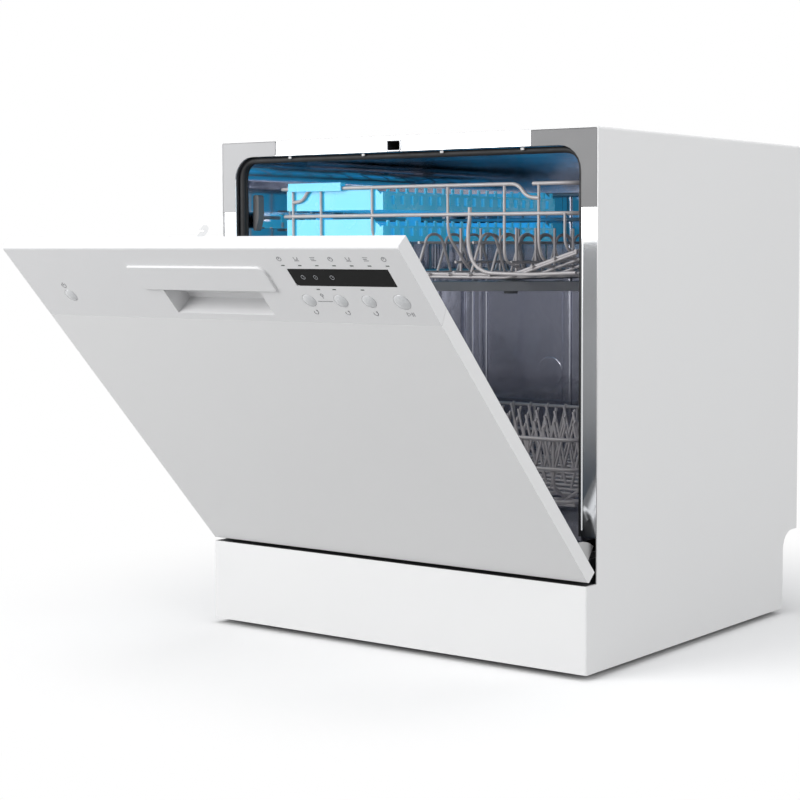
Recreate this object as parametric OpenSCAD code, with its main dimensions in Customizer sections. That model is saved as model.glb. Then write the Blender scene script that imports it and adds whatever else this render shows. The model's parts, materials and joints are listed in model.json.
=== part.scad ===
// Countertop dishwasher with a drop-down door, an upper and a lower basket.
// X runs to the right, the front faces -Y and Z is up. The origin is the middle of
// the footprint, on the surface that the feet stand on. All lengths are millimetres.

/* [Cabinet] */
// Width of the cabinet over its side panels
cab_w = 550; // [520:1:600]
// Depth from the face of the kick plate to the rear panel
cab_d = 500; // [490:1:540]
// Height from the worktop to the top of the cabinet
cab_h = 595; // [590:1:640]
// How far the kick plate and the door stand in front of the side panels
front_proj = 20; // [18:0.5:26]
// Thickness of the painted steel sheet
sheet_t = 1.2; // [0.8:0.1:1.5]
// Height of the feet below the side panels
foot_h = 6.5; // [6:0.5:12]
// Height of the kick plate
kick_h = 96.5; // [94:0.5:98]
// Depth of the hose notch at the lower rear
notch_d = 38; // [30:1:44]
// Height of the hose notch above the lower edge of the side panels
notch_h = 98.5; // [90:0.5:105]
// Radius in the corner of the hose notch
notch_r = 24; // [10:1:28]

/* [Door] */
// Angle at which the door stands open here
door_open = 42.1; // [0:0.1:90]
// Height of the door's hinge axis
hinge_z = 111.7; // [111:0.1:113]
// Distance of the hinge axis behind the face of the door
hinge_set = 6.4; // [6.4:0.1:8]
// Distance of the door's top below the cabinet's top
door_low = 0; // [0:0.1:4]
// Thickness of the door's white edge
door_edge = 16.6; // [15:0.1:18]
// Height of the control console at the top of the door
console_h = 101; // [98:0.5:106]
// How far the inner door reaches behind the hinge axis
plug_reach = 36; // [32:0.5:38]
// Distance of the inner door's raised field from the door's side edges
plug_side = 41; // [41:0.5:47]
// Wall of the console moulding
console_t = 2.5; // [2:0.1:3]

/* [Tub] */
// Distance of the tub's opening from the cabinet's sides
tub_side = 22; // [20:0.5:23]
// Height of the tub's floor
tub_z0 = 148; // [146:0.5:150]
// Distance of the tub's ceiling below the cabinet's top
tub_top = 19; // [17:0.5:23]
// Distance from the tub's front to the inside of its back
tub_depth = 439; // [434:1:442]
// Radius of the opening's upper corners
tub_r = 28; // [20:1:34]
// Thickness of the tub's steel
tub_t = 1.2; // [1:0.1:1.6]
// Width and depth of the door gasket
gasket = [7, 12];

/* [Baskets] */
// Distance of both baskets from the cabinet's sides
basket_side = 53; // [51:1:59]
// Thickness of the basket wires
wire = 3.6; // [3:0.1:4]
// Distance of the baskets behind the front of the side panels
basket_front = 38; // [36:1:44]
// Distance of the baskets from the tub's back
basket_rear = 28; // [26:1:34]
// Distance of the upper basket's rim below the cabinet's top
rim_below = 55; // [51:1:59]
// Height of the upper basket, from its floor to its rim
upper_h = 105; // [103:1:112]
// Distance of the upper basket's middle wire below its rim
mid_below = 36; // [32:1:40]
// Height of the lower basket's floor above the tub's floor
lower_gap = 34; // [32:1:42]
// Height of the lower basket, from its floor to its rim
lower_h = 72; // [68:1:90]
// Radius of the lower basket's wheels
wheel_r = 15; // [12:0.5:16]
// Radius of the upper basket's wheels
roller_r = 8.4; // [7:0.1:8.6]

/* [Spray arms] */
// Half the length of the upper spray arm
upper_arm = 176; // [150:1:178]
// Half the length of the lower spray arm
lower_arm = 180; // [150:1:196]
// Angle at which the upper arm has stopped
upper_arm_at = 38; // [-90:1:90]
// Angle at which the lower arm has stopped
lower_arm_at = 35; // [-90:1:90]

/* [Controls] */
// Radius of the three small option buttons
button_r = 8; // [6:0.5:8.5]
// Radius of the start button
start_r = 9.5; // [8:0.5:10]
// Travel of the buttons
button_travel = 1.2; // [0.6:0.1:1.4]
// Distance of the buttons below the door's top
button_row = 70.2; // [68:0.1:72]
// Distances of the option buttons from the middle of the door
option_x = [126.4, 167.1, 202.6];
// Distance of the start button from the middle of the door
start_x = 243; // [238:0.5:246]
// Distance of the power button from the middle of the door
power_x = -218.5; // [-230:0.5:-190]
// Display window: left, right, upper and lower edge from the door's middle and top
display = [122.4, 248.4, 28, 50.4];
// Handle plate: left, right, upper and lower edge from the door's middle and top
plate = [-99, 93, 25.5, 58];
// Hand recess: left, right, upper and lower edge from the door's middle and top
recess = [-69, 67, 58, 92];
// Depth of the hand recess
recess_d = 24; // [18:0.5:26]

/* [Fittings] */
// Outer radius of the water inlet's thread, G 3/4
inlet_r = 13.2; // [12.5:0.1:13.5]
// Outer radius of the drain spigot
drain_r = 9.5; // [9:0.1:12]

/* [Hidden] */
$fn = 48;

// Colours of the finishes
white = [0.90, 0.90, 0.90];
chrome = [0.72, 0.74, 0.77];
dark = [0.13, 0.13, 0.14];
wire_grey = [0.52, 0.50, 0.50];
cup_blue = [0.20, 0.66, 0.84];
grey = [0.55, 0.56, 0.58];

// Planes of the cabinet
y_face = -cab_d / 2;
y_side = y_face + front_proj;
y_rear = cab_d / 2;
x_in = cab_w / 2 - sheet_t;
z_in = cab_h - sheet_t;
tub_x = cab_w / 2 - tub_side;
tub_z1 = cab_h - tub_top;
basket_x = cab_w / 2 - basket_side;
upper_rim = cab_h - rim_below;
upper_mid = upper_rim - mid_below;
upper_z = upper_rim - upper_h;
lower_z = tub_z0 + lower_gap;
lower_rim = lower_z + lower_h;
kick_top = foot_h + kick_h;
tub_y0 = y_side + 3;
tub_y1 = tub_y0 + tub_depth;
basket_y = [y_side + basket_front, tub_y1 - basket_rear];
eps = 0.01;
fit = 0.3;

// Planes of the door, as it stands when it is shut
hinge_y = y_face + hinge_set;
door_z0 = hinge_z - 2.3;
door_z1 = cab_h - door_low;
plug_x = cab_w / 2 - plug_side;
edge_y = y_face + door_edge;
seam_z = door_z1 - console_h;
plug_y = hinge_y + plug_reach;
liner_t = 1.2;

// Points of an arc about c, from angle a0 to a1
function arc(c, r, a0, a1, n = 6) =
    [for (i = [0:n]) c + r * [cos(a0 + (a1 - a0) * i / n), sin(a0 + (a1 - a0) * i / n)]];

// Outline of a rectangle from lo to hi, with its own radius in each corner:
// upper right, upper left, lower left, lower right
function corner_rect(lo, hi, r) = concat(
    arc([hi[0] - r[0], hi[1] - r[0]], r[0], 0, 90),
    arc([lo[0] + r[1], hi[1] - r[1]], r[1], 90, 180),
    arc([lo[0] + r[2], lo[1] + r[2]], r[2], 180, 270),
    arc([hi[0] - r[3], lo[1] + r[3]], r[3], 270, 360));

function unit(v) = v / norm(v);
function across(v) = [-v[1], v[0]];
function tangent(p, i) = unit(p[min(i + 1, len(p) - 1)] - p[max(i - 1, 0)]);

// Outline of a strip of width w along the points p
function strip(p, w) = concat(
    [for (i = [0:len(p) - 1]) p[i] + across(tangent(p, i)) * w / 2],
    [for (i = [len(p) - 1:-1:0]) p[i] - across(tangent(p, i)) * w / 2]);

// Places n values evenly from a to b
function spread(a, b, n) = [for (i = [0:n - 1]) a + (b - a) * i / (n - 1)];

module rounded(lo, hi, r) { polygon(corner_rect(lo, hi, [r, r, r, r])); }

// A drawing in X and Z, extruded from y0 to y1
module slab_y(y0, y1) { translate([0, y1, 0]) rotate([90, 0, 0]) linear_extrude(y1 - y0) children(); }

// A drawing in Y and Z, extruded from x0 to x1
module slab_x(x0, x1) {
    translate([x0, 0, 0]) rotate([90, 0, 90]) linear_extrude(x1 - x0) children();
}

module slab_z(z0, z1) { translate([0, 0, z0]) linear_extrude(z1 - z0) children(); }
module rod_x(x0, x1, r) { translate([x0, 0, 0]) rotate([0, 90, 0]) cylinder(h = x1 - x0, r = r); }
module rod_y(y0, y1, r) { translate([0, y0, 0]) rotate([-90, 0, 0]) cylinder(h = y1 - y0, r = r); }
module block(lo, hi) { translate(lo) cube(hi - lo); }
module both_sides() { for (s = [0, 1]) mirror([s, 0, 0]) children(); }

// Turns the shut door to where it stands open
module on_door() {
    translate([0, hinge_y, hinge_z]) rotate([door_open, 0, 0])
        translate([0, -hinge_y, -hinge_z]) children();
}

// A grille in the drawing plane: wires at xs from y0 to y1, and at ys from x0 to x1
module grille(xs, ys, x0, x1, y0, y1) {
    for (x = xs) translate([x - wire / 2, y0]) square([wire, y1 - y0]);
    for (y = ys) translate([x0, y - wire / 2]) square([x1 - x0, wire]);
}

// Side view of a cabinet side, with the notch for the hoses
module side_outline() {
    difference() {
        translate([y_side, foot_h]) square([y_rear - y_side, cab_h - foot_h]);
        polygon(concat([[y_rear + 1, foot_h - 1], [y_rear + 1, foot_h + notch_h]],
            arc([y_rear - notch_d + notch_r, foot_h + notch_h - notch_r], notch_r, 90, 180, 10),
            [[y_rear - notch_d, foot_h - 1]]));
    }
}

module cabinet_shell() {
    color(white) intersection() {
        slab_y(y_side, y_rear) difference() {
            polygon(corner_rect([-cab_w / 2, foot_h], [cab_w / 2, cab_h], [3, 3, 0.1, 0.1]));
            polygon(corner_rect([-x_in, foot_h - 1], [x_in, z_in], [1.8, 1.8, 0.1, 0.1]));
        }
        slab_x(-cab_w, cab_w) side_outline();
    }
}

module kick_plate() {
    color(white) difference() {
        slab_z(foot_h, kick_top)
            polygon(corner_rect([-cab_w / 2, y_face], [cab_w / 2, y_side], [0.1, 0.1, 2.5, 2.5]));
        slab_z(foot_h - 1, kick_top - sheet_t)
            polygon(corner_rect([-x_in, y_face + sheet_t], [x_in, y_side + 1], [0.1, 0.1, 1.3, 1.3]));
    }
}

tray_floor = foot_h + 2.5;
tray_y1 = y_rear - notch_d - sheet_t;
tray_wall = 3;

module base_tray() {
    color(dark) difference() {
        union() {
            block([-x_in + fit, y_side, foot_h], [x_in - fit, tray_y1, tray_floor + 3]);
            difference() {
                block([-x_in + fit, y_side, foot_h], [x_in - fit, tray_y1, kick_top - 5]);
                block([-x_in + tray_wall, y_side + tray_wall, foot_h - 1],
                    [x_in - tray_wall, tray_y1 - tray_wall, kick_top]);
            }
        }
        translate([inlet_x, 0, fitting_z]) rod_y(tray_y1 - 6, tray_y1 + 1, inlet_r + 1);
        translate([drain_x, 0, fitting_z]) rod_y(tray_y1 - 6, tray_y1 + 1, drain_r + 1);
        translate([gland_x, 0, fitting_z]) rod_y(tray_y1 - 6, tray_y1 + 1, gland_r + 0.05);
    }
}

module rear_panel() {
    color(grey) difference() {
        block([-x_in + fit, y_rear - sheet_t, foot_h + notch_h + 1], [x_in - fit, y_rear, z_in - fit]);
        for (z = [180 : 60 : z_in - 110], x = [-60, 0, 60])
            translate([x - 20, y_rear - 3, z]) cube([40, 6, 4]);
    }
}

module tub_wrapper() {
    color(chrome) slab_y(tub_y0, tub_y1) difference() {
        polygon(corner_rect([-tub_x - tub_t, tub_z0 - tub_t], [tub_x + tub_t, tub_z1 + tub_t],
            [tub_r + tub_t, tub_r + tub_t, 0.1, 0.1]));
        polygon(corner_rect([-tub_x, tub_z0 - 9], [tub_x, tub_z1], [tub_r, tub_r, 0.1, 0.1]));
    }
}

module tub_back() {
    color(chrome) difference() {
        slab_y(tub_y1, tub_y1 + tub_t) difference() {
            polygon(corner_rect([-tub_x - tub_t, tub_z0 - tub_t], [tub_x + tub_t, tub_z1 + tub_t],
                [tub_r + tub_t, tub_r + tub_t, 0.1, 0.1]));
        }
        translate([0, 0, dock_z]) rod_y(tub_y1 - 1, tub_y1 + 3, dock_r + 0.05);
    }
}

// Sump, filter and softener places in the tub's floor
filter_at = [-70, 40];
filter_r = 44;
salt_at = [-160, 110];
salt_r = 32;
sill_z = hinge_z + 22;

module tub_floor() {
    color(chrome) difference() {
        union() {
            block([-tub_x, tub_y0, tub_z0 - tub_t], [tub_x, tub_y1, tub_z0]);
            block([-tub_x, tub_y0, sill_z], [tub_x, tub_y0 + tub_t, tub_z0 - tub_t + eps]);
        }
        translate([filter_at[0], filter_at[1], tub_z0 - 5]) cylinder(h = 10, r = filter_r + 0.05);
        translate([salt_at[0], salt_at[1], tub_z0 - 5]) cylinder(h = 10, r = salt_r + 0.05);
        translate([0, 0, tub_z0 - 5]) cylinder(h = 10, r = 9.05);
    }
}

slot = [-13.8, 5.4, tub_z1 + 1, z_in - 4.8];

module front_frame() {
    color(chrome) slab_y(tub_y0 - tub_t, tub_y0) difference() {
        translate([-x_in + fit, tub_z0 + 5]) square([2 * (x_in - fit), z_in - fit - tub_z0 - 5]);
        polygon(corner_rect([-tub_x, tub_z0 - 9], [tub_x, tub_z1], [tub_r, tub_r, 0.1, 0.1]));
        translate([slot[0], slot[2]]) square([slot[1] - slot[0], slot[3] - slot[2]]);
    }
}

plate_low = cab_h - 86;
plate_in = cab_w / 2 - 88;
plate_t = 1.5;

module corner_plates() {
    color(grey) both_sides() slab_y(tub_y0 - tub_t - plate_t, tub_y0 - tub_t) difference() {
        translate([plate_in, plate_low]) square([x_in - fit - plate_in, z_in - fit - plate_low]);
        polygon(corner_rect([-tub_x, tub_z0], [tub_x, tub_z1], [tub_r, tub_r, 0.1, 0.1]));
    }
}

module door_gasket() {
    r_in = tub_r - gasket[0];
    color(dark) slab_y(tub_y0 + 1, tub_y0 + 1 + gasket[1]) difference() {
        polygon(corner_rect([-tub_x, tub_z0], [tub_x, tub_z1], [tub_r, tub_r, 0.1, 0.1]));
        polygon(corner_rect([-tub_x + gasket[0], tub_z0 - 1], [tub_x - gasket[0], tub_z1 - gasket[0]],
            [r_in, r_in, 0.1, 0.1]));
    }
}

latch_y = [tub_y0, tub_y0 + 36];

module latch_housing() {
    low = tub_z1 + tub_t;
    color(dark) difference() {
        block([slot[0] - 16, latch_y[0], low], [slot[1] + 16, latch_y[1], z_in]);
        block([slot[0], latch_y[0] - 1, low - 1], [slot[1], latch_y[1] - 3, slot[3] + 1]);
    }
}

// Rails: the channel's outer face, its height and its ends
rail_x = [basket_x + 13, basket_x + 23];
rail_z = [upper_mid - 14, upper_mid + 6];
rail_y = [basket_y[0] - 5, basket_y[1] + 4];
rail_t = 1.2;

module rail_brackets() {
    color(grey) both_sides() for (y = [basket_y[0] + 52, basket_y[0] + 122]) difference() {
        block([rail_x[1] - 4, y, rail_z[0] - 3], [tub_x, y + 30, rail_z[1] + 3]);
        block([rail_x[0], y - 1, rail_z[0] - fit], [rail_x[1] + fit, y + 31, rail_z[1] + fit]);
    }
}

sump_z = tub_z0 - tub_t - 50;
arm_z = tub_z0 + 14;
arm_t = 12;
post_r = 9;

module sump() {
    x = filter_at[0];
    y = filter_at[1];
    color(dark) difference() {
        union() {
            translate([x, y, sump_z]) cylinder(h = tub_z0 - tub_t - sump_z, r = filter_r + 6);
            block([x, -14, sump_z], [16, 14, sump_z + 30]);
            translate([0, 0, sump_z]) cylinder(h = tub_z0 - tub_t - sump_z, r = 14);
            translate([0, 0, sump_z]) cylinder(h = arm_z + arm_t + 2 - sump_z, r = post_r);
            translate([0, 0, tub_z0]) cylinder(h = arm_z - fit - tub_z0, r = post_r + 4);
            translate([0, 0, arm_z + arm_t + 1 + fit]) cylinder(h = 2, r = post_r + 4);
        }
        translate([x, y, sump_z + 3]) cylinder(h = 60, r = filter_r + 1);
        translate([0, 0, tub_z0 - 20]) cylinder(h = arm_t + 18, r = 6);
    }
}

// Pumps lie on the base tray
pump_z = tray_floor + 3;

module wash_pump() {
    color(dark) {
        translate([90, 60, pump_z + 36]) rod_y(-60, 20, 34);
        translate([90, 60, pump_z + 36]) rod_y(20, 40, 35);
        block([66, 10, pump_z], [114, 60, pump_z + 12]);
        translate([0, riser_y, pump_z + 36]) rod_x(30, 90, riser_r);
        translate([90, 98, pump_z + 36]) rod_y(0, 14, 14);
        translate([0, -2, pump_z + 36]) rod_x(2, 90, 10);
        translate([2, -2, pump_z + 26]) cylinder(h = sump_z - pump_z - 26, r = 10);
    }
}

module drain_pump() {
    color(dark) {
        translate([-150, 20, pump_z]) cylinder(h = 44, r = 24);
        translate([-150, 20, pump_z + 44]) cylinder(h = 18, r = 28);
    }
    color(grey) difference() {
        union() {
            translate([drain_x, 0, fitting_z]) rod_y(tray_y1 - 26, tray_y1 + 24, drain_r);
            translate([drain_x, 0, fitting_z]) rod_y(tray_y1 - 26, tray_y1 - tray_wall, drain_r + 4);
            block([drain_x - 8, 30, fitting_z - 8], [drain_x + 8, tray_y1 - 26 + eps, fitting_z + 8]);
            block([-150, 22, fitting_z - 8], [drain_x + 8, 38, fitting_z + 8]);
        }
        translate([drain_x, 0, fitting_z]) rod_y(tray_y1 - 20, tray_y1 + 25, drain_r - 2);
    }
}

module water_softener() {
    color(grey) difference() {
        union() {
            translate([salt_at[0], salt_at[1], tub_z0 - tub_t - 60]) cylinder(h = 60, r = salt_r + 14);
            translate([salt_at[0], salt_at[1], tub_z0 - tub_t - eps]) cylinder(h = 4, r = salt_r);
        }
        translate([salt_at[0], salt_at[1], tub_z0 - 50]) cylinder(h = 60, r = salt_r - 5);
    }
}

// Heights and places of the connections in the rear notch
fitting_z = 62;
inlet_x = 90 - cab_w / 2;
drain_x = 165 - cab_w / 2;
gland_x = cab_w / 2 - 75;
gland_r = 8;

module inlet_valve() {
    color(grey) translate([inlet_x, 0, fitting_z]) difference() {
        union() {
            rod_y(tray_y1 - 40, tray_y1 - tray_wall, inlet_r + 5);
            rod_y(tray_y1 - tray_wall - eps, tray_y1 + 18, inlet_r);
        }
        rod_y(tray_y1 - 10, tray_y1 + 19, 9);
    }
    color(dark) block([inlet_x - 14, tray_y1 - 60, fitting_z - 14], [inlet_x + 14, tray_y1 - 40, fitting_z + 20]);
}

module cord_gland() {
    color(dark) translate([gland_x, 0, fitting_z]) difference() {
        union() {
            rod_y(tray_y1 - 8, tray_y1 + 3, gland_r);
            rod_y(tray_y1, tray_y1 + 4, gland_r + 4);
            rod_y(tray_y1 - 8, tray_y1 - tray_wall - fit, gland_r + 3);
        }
        rod_y(tray_y1 - 9, tray_y1 + 5, 4);
    }
}

// Docking nozzle for the upper spray arm
dock_z = upper_z - 11;
dock_r = 11;
dock_y = basket_y[1] + 8;

// Sections of the feed pipe, pushed into each other
leg_z = tub_z0 - 26;
leg_r = 11;
pipe_r = 13;
riser_r = 12;
riser_y = 110;
joint_gap = 0.05;

module feed_pipe() {
    pipe_y = tub_y1 + tub_t + 14;
    color(dark) {
        difference() {
            translate([0, pipe_y, leg_z - leg_r]) cylinder(h = dock_z - leg_z + leg_r + 14, r = pipe_r);
            translate([0, pipe_y, leg_z]) cylinder(h = dock_z - leg_z, r = pipe_r - 3);
            translate([0, 0, dock_z]) rod_y(dock_y - 1, pipe_y, dock_r - 3);
        }
        difference() {
            translate([0, 0, dock_z]) rod_y(dock_y, pipe_y, dock_r);
            translate([0, 0, dock_z]) rod_y(dock_y - 1, pipe_y, dock_r - 3);
            translate([0, pipe_y, dock_z - 20]) cylinder(h = 40, r = pipe_r + joint_gap);
        }
        difference() {
            translate([0, 0, leg_z]) rod_y(riser_y, pipe_y, leg_r);
            translate([0, pipe_y, leg_z - 20]) cylinder(h = 40, r = pipe_r + joint_gap);
            translate([0, riser_y, leg_z - 20]) cylinder(h = 40, r = riser_r + joint_gap);
        }
        translate([0, riser_y, pump_z + 24]) cylinder(h = leg_z + leg_r - pump_z - 24, r = riser_r);
        difference() {
            translate([0, riser_y, pump_z + 36]) rod_x(0, 30, riser_r);
            translate([0, riser_y, pump_z + 20]) cylinder(h = 32, r = riser_r + joint_gap);
        }
    }
}

module feet() {
    color(dark) for (x = [35 - cab_w / 2, cab_w / 2 - 35], y = [y_side + 30, tray_y1 - 30])
        translate([x, y, 0]) cylinder(h = foot_h, r = 18);
}

// Hinges: bracket, pin and arm stand side by side inside the door's edge
bracket_x = [cab_w / 2 - 17, cab_w / 2 - 14];
arm_x = [cab_w / 2 - 13, cab_w / 2 - 10];
pin_r = 3;
eye_r = 4.8;
cheek_r = 38;

module hinge_brackets() {
    color(grey) both_sides() {
        slab_x(bracket_x[0], bracket_x[1]) union() {
            polygon(concat(arc([hinge_y, hinge_z], eye_r, 90, 270, 10),
                [[y_side + 8, hinge_z - eye_r], [y_side + 8, pump_z],
                 [y_side + 50, pump_z], [y_side + 50, hinge_z + 16], [y_side + 10, hinge_z + 16],
                 [y_side - 2, hinge_z + eye_r]]));
        }
        translate([0, hinge_y, hinge_z]) rod_x(bracket_x[0] + 1, arm_x[1] + 3, pin_r);
    }
}

module filter_cup() {
    color(grey) translate([filter_at[0], filter_at[1], 0]) difference() {
        union() {
            translate([0, 0, sump_z + 6]) cylinder(h = tub_z0 - sump_z - 6 + 2, r = filter_r - 8);
            translate([0, 0, tub_z0 + fit]) cylinder(h = 2, r = filter_r + 4);
            translate([0, 0, tub_z0 + 2]) for (a = [0:60:120]) rotate(a) translate([-26, -2, 0]) cube([52, 4, 6]);
        }
        translate([0, 0, sump_z + 5]) cylinder(h = tub_z0 - sump_z - 8, r = filter_r - 10);
    }
}

module salt_cap() {
    color(dark) translate([salt_at[0], salt_at[1], 0]) {
        translate([0, 0, tub_z0 + 3 + fit]) cylinder(h = 4, r = salt_r);
        translate([0, 0, tub_z0 - 12]) cylinder(h = 15 + fit + eps, r = salt_r - 5.3);
        translate([-20, -2.5, tub_z0 + 7]) cube([40, 5, 4]);
    }
}

// Section of the door pan, drawn in Y and Z, with its rounded lower front edge
module door_section() {
    polygon(concat([[edge_y, seam_z + 9], [edge_y, door_z0]],
        arc([y_face + 3, door_z0 + 3], 3, 270, 180), [[y_face, seam_z]]));
}

module door_panel() {
    color(white) on_door() difference() {
        slab_x(-cab_w / 2, cab_w / 2) door_section();
        block([-cab_w / 2 + sheet_t, y_face + sheet_t, door_z0 + sheet_t],
            [cab_w / 2 - sheet_t, edge_y + 1, seam_z + 10]);
        both_sides() block([bracket_x[0] - 4, y_face + sheet_t, door_z0 - 1],
            [cab_w / 2 - 3, edge_y + 1, door_z0 + 3]);
    }
}

// A window in the door's face, given by its left, right, upper and lower edge
module door_window(w, grow, depth) {
    block([w[0] - grow, y_face - 1, door_z1 - w[3] - grow], [w[1] + grow, y_face + depth, door_z1 - w[2] + grow]);
}

module door_round(x, below, r, y0, y1) { translate([x, 0, door_z1 - below]) rod_y(y0, y1, r); }

led_x = spread(120.1, 250.6, 7);
low_led_x = [147, 167.3, 202.7];
led_size = [4.6, 1.6];
led_row = 23.7;
low_led_row = 55;

module console() {
    t = console_t;
    color(white) on_door() difference() {
        union() {
            difference() {
                slab_x(-cab_w / 2, cab_w / 2) polygon(concat([[y_face, seam_z + 0.4], [edge_y, seam_z + 9.4]],
                    [[edge_y, door_z1]], arc([y_face + 3, door_z1 - 3], 3, 90, 180)));
                block([-cab_w / 2 + t, y_face + t, seam_z - 1], [cab_w / 2 - t, edge_y + 1, door_z1 - t]);
            }
            block([recess[0] - t, y_face + t - eps, door_z1 - recess[3] - t],
                [recess[1] + t, y_face + recess_d + t, door_z1 - recess[2] + 14 + t]);
            both_sides() for (z = [seam_z + 16, door_z1 - 16]) translate([cab_w / 2 - 10, 0, z])
                rod_y(y_face + t - eps, edge_y, 4);
            for (x = [hook_x[0] - 4, hook_x[1] + 0.5])
                block([x, y_face + t - eps, hook_pin[1] - 6], [x + 3.5, hook_pin[0] + 3, door_z1 - t + eps]);
        }
        block([recess[0], y_face - 1, door_z1 - recess[3]], [recess[1], y_face + recess_d, door_z1 - recess[2]]);
        block([recess[0], y_face + t, door_z1 - recess[3]],
            [recess[1], y_face + recess_d, door_z1 - recess[2] + 14]);
        door_window(display, 0.1, t + 1);
        for (x = option_x) door_round(x, button_row, button_r + fit, y_face - 1, y_face + t + 1);
        door_round(start_x, button_row, start_r + fit, y_face - 1, y_face + t + 1);
        door_round(power_x, button_row, button_r + fit, y_face - 1, y_face + t + 1);
        for (x = led_x) door_window(led_box(x, led_row), 0, t + 1);
        for (x = low_led_x) door_window(led_box(x, low_led_row), 0, t + 1);
        translate([0, hook_pin[0], hook_pin[1]]) rod_x(hook_x[0] - 3.3, hook_x[1] + 3.3, 1.55);
    }
}

function led_box(x, below) =
    [x - led_size[0] / 2, x + led_size[0] / 2, below - led_size[1] / 2, below + led_size[1] / 2];

plug_z = [tub_z0 + 9, tub_z1 - 17];
liner_z = [door_z0 + 21, door_z1 - 21];
flange_x = bracket_x[1];
dispenser_at = [50, 330];
dispenser_size = [150, 84];
dispenser_back = 20;

module door_liner() {
    half = dispenser_size / 2;
    color(chrome) on_door() difference() {
        union() {
            slab_y(edge_y, edge_y + liner_t) rounded([-flange_x, liner_z[0]], [flange_x, liner_z[1]], 6);
            slab_y(edge_y + eps, plug_y) rounded([-plug_x, plug_z[0]], [plug_x, plug_z[1]], 22);
        }
        slab_y(edge_y - 1, plug_y - liner_t)
            rounded([-plug_x + liner_t, plug_z[0] + liner_t], [plug_x - liner_t, plug_z[1] - liner_t], 21);
        block([dispenser_at[0] - half[0], edge_y, dispenser_at[1] - half[1]],
            [dispenser_at[0] + half[0], plug_y + 1, dispenser_at[1] + half[1]]);
    }
}

module hinge_arms() {
    color(grey) on_door() both_sides() difference() {
        union() {
            slab_x(arm_x[0], arm_x[1]) {
                polygon(concat(arc([hinge_y, hinge_z], eye_r, 180, 360, 10),
                    [[edge_y, hinge_z + 12], [edge_y, hinge_z + 150], [edge_y - 8, hinge_z + 150],
                     [y_face + 4, hinge_z + 30]]));
                polygon(concat([[hinge_y, hinge_z]], arc([hinge_y, hinge_z], cheek_r, 12, 80, 12)));
            }
            block([arm_x[0] - 14, edge_y - 2, hinge_z + 40], [arm_x[0] + eps, edge_y, hinge_z + 140]);
            block([arm_x[1] - eps, y_face + sheet_t, hinge_z + 60], [cab_w / 2 - sheet_t, edge_y - 4, hinge_z + 66]);
        }
        translate([0, hinge_y, hinge_z]) rod_x(arm_x[0] - 1, arm_x[1] + 1, pin_r + 0.05);
    }
}

module display_window() {
    color(dark) on_door() slab_y(y_face, y_face + console_t + 1)
        polygon(corner_rect([display[0], door_z1 - display[3]], [display[1], door_z1 - display[2]], [5, 1.5, 5, 1.5]));
}

board_y = y_face + 9.5;

module control_board() {
    color([0.1, 0.4, 0.2]) on_door() {
        block([108, board_y, door_z1 - 84], [257, board_y + 1.6, door_z1 - 18]);
        for (x = [112, 254.5], z = [door_z1 - 80, door_z1 - 32])
            translate([x, 0, z]) rod_y(y_face + console_t, board_y + eps, 2);
        for (x = led_x) light_pipe(led_box(x, led_row));
        for (x = low_led_x) light_pipe(led_box(x, low_led_row));
    }
}

// A light pipe from the board to the face of the console
module light_pipe(w) {
    block([w[0] + fit, y_face, door_z1 - w[3] + fit], [w[1] - fit, board_y + eps, door_z1 - w[2] - fit]);
}

plate_proud = 2.2;

module handle_plate() {
    color(white) on_door() slab_y(y_face - plate_proud, y_face)
        polygon(corner_rect([plate[0], door_z1 - plate[3]], [plate[1], door_z1 - plate[2]], [9, 2, 9, 2]));
}

module dispenser_body() {
    half = dispenser_size / 2;
    color(grey) on_door() difference() {
        union() {
            slab_y(plug_y, plug_y + 3) rounded(dispenser_at - half - [5, 5], dispenser_at + half + [5, 5], 8);
            block([dispenser_at[0] - half[0], plug_y - dispenser_back, dispenser_at[1] - half[1]],
                [dispenser_at[0] + half[0], plug_y + eps, dispenser_at[1] + half[1]]);
        }
        block([cup_x[0], plug_y - dispenser_back + 2, cup_z[0]], [cup_x[1], plug_y + 4, cup_z[1]]);
        translate([cap_at[0], 0, cap_at[1]]) rod_y(plug_y - 12, plug_y + 4, cap_r + 0.1);
    }
}

cup_x = [dispenser_at[0] - 64, dispenser_at[0] - 4];
cup_z = [dispenser_at[1] - 30, dispenser_at[1] + 30];
cap_at = [dispenser_at[0] + 42, dispenser_at[1]];
cap_r = 20;
lid_t = 2.6;

module dispenser_lid() {
    lid_y = plug_y + 3 + fit;
    color(grey) on_door() difference() {
        union() {
            slab_y(lid_y, lid_y + lid_t) rounded([cup_x[0] - 3, cup_z[0] - 3], [cup_x[1] + 3, cup_z[1] + 3], 4);
            translate([0, lid_y + lid_t + 1, cup_z[0] - 3]) rod_x(cup_x[0] + 4, cup_x[1] - 4, 2.4);
        }
    }
}

module rinse_aid_cap() {
    color(dark) on_door() translate([cap_at[0], 0, cap_at[1]]) {
        rod_y(plug_y - 9, plug_y + 6, cap_r);
        translate([-16, plug_y + 6, -3]) cube([32, 5, 6]);
    }
}

module liner_screws() {
    color(grey) on_door() both_sides() for (z = [liner_z[0] + 60 : 120 : liner_z[1] - 40])
        translate([flange_x - 10, 0, z]) rod_y(edge_y + liner_t, edge_y + liner_t + 2, 3.6);
}

// Handle lever hangs from its pin at the top of the hand recess
lever_pin = [y_face + 12, door_z1 - recess[2] + 8];
lever_in = 0.6;

module handle_lever() {
    color(white) on_door() {
        translate([0, lever_pin[0], lever_pin[1]]) rod_x(recess[0] + lever_in, recess[1] - lever_in, 4);
        slab_x(recess[0] + lever_in, recess[1] - lever_in) polygon([
            [lever_pin[0] - 1, lever_pin[1] - 1], [lever_pin[0] + 3.5, lever_pin[1] - 1],
            [lever_pin[0] + 7, lever_pin[1] - 26], [lever_pin[0] + 4, lever_pin[1] - 26]]);
    }
}

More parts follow.
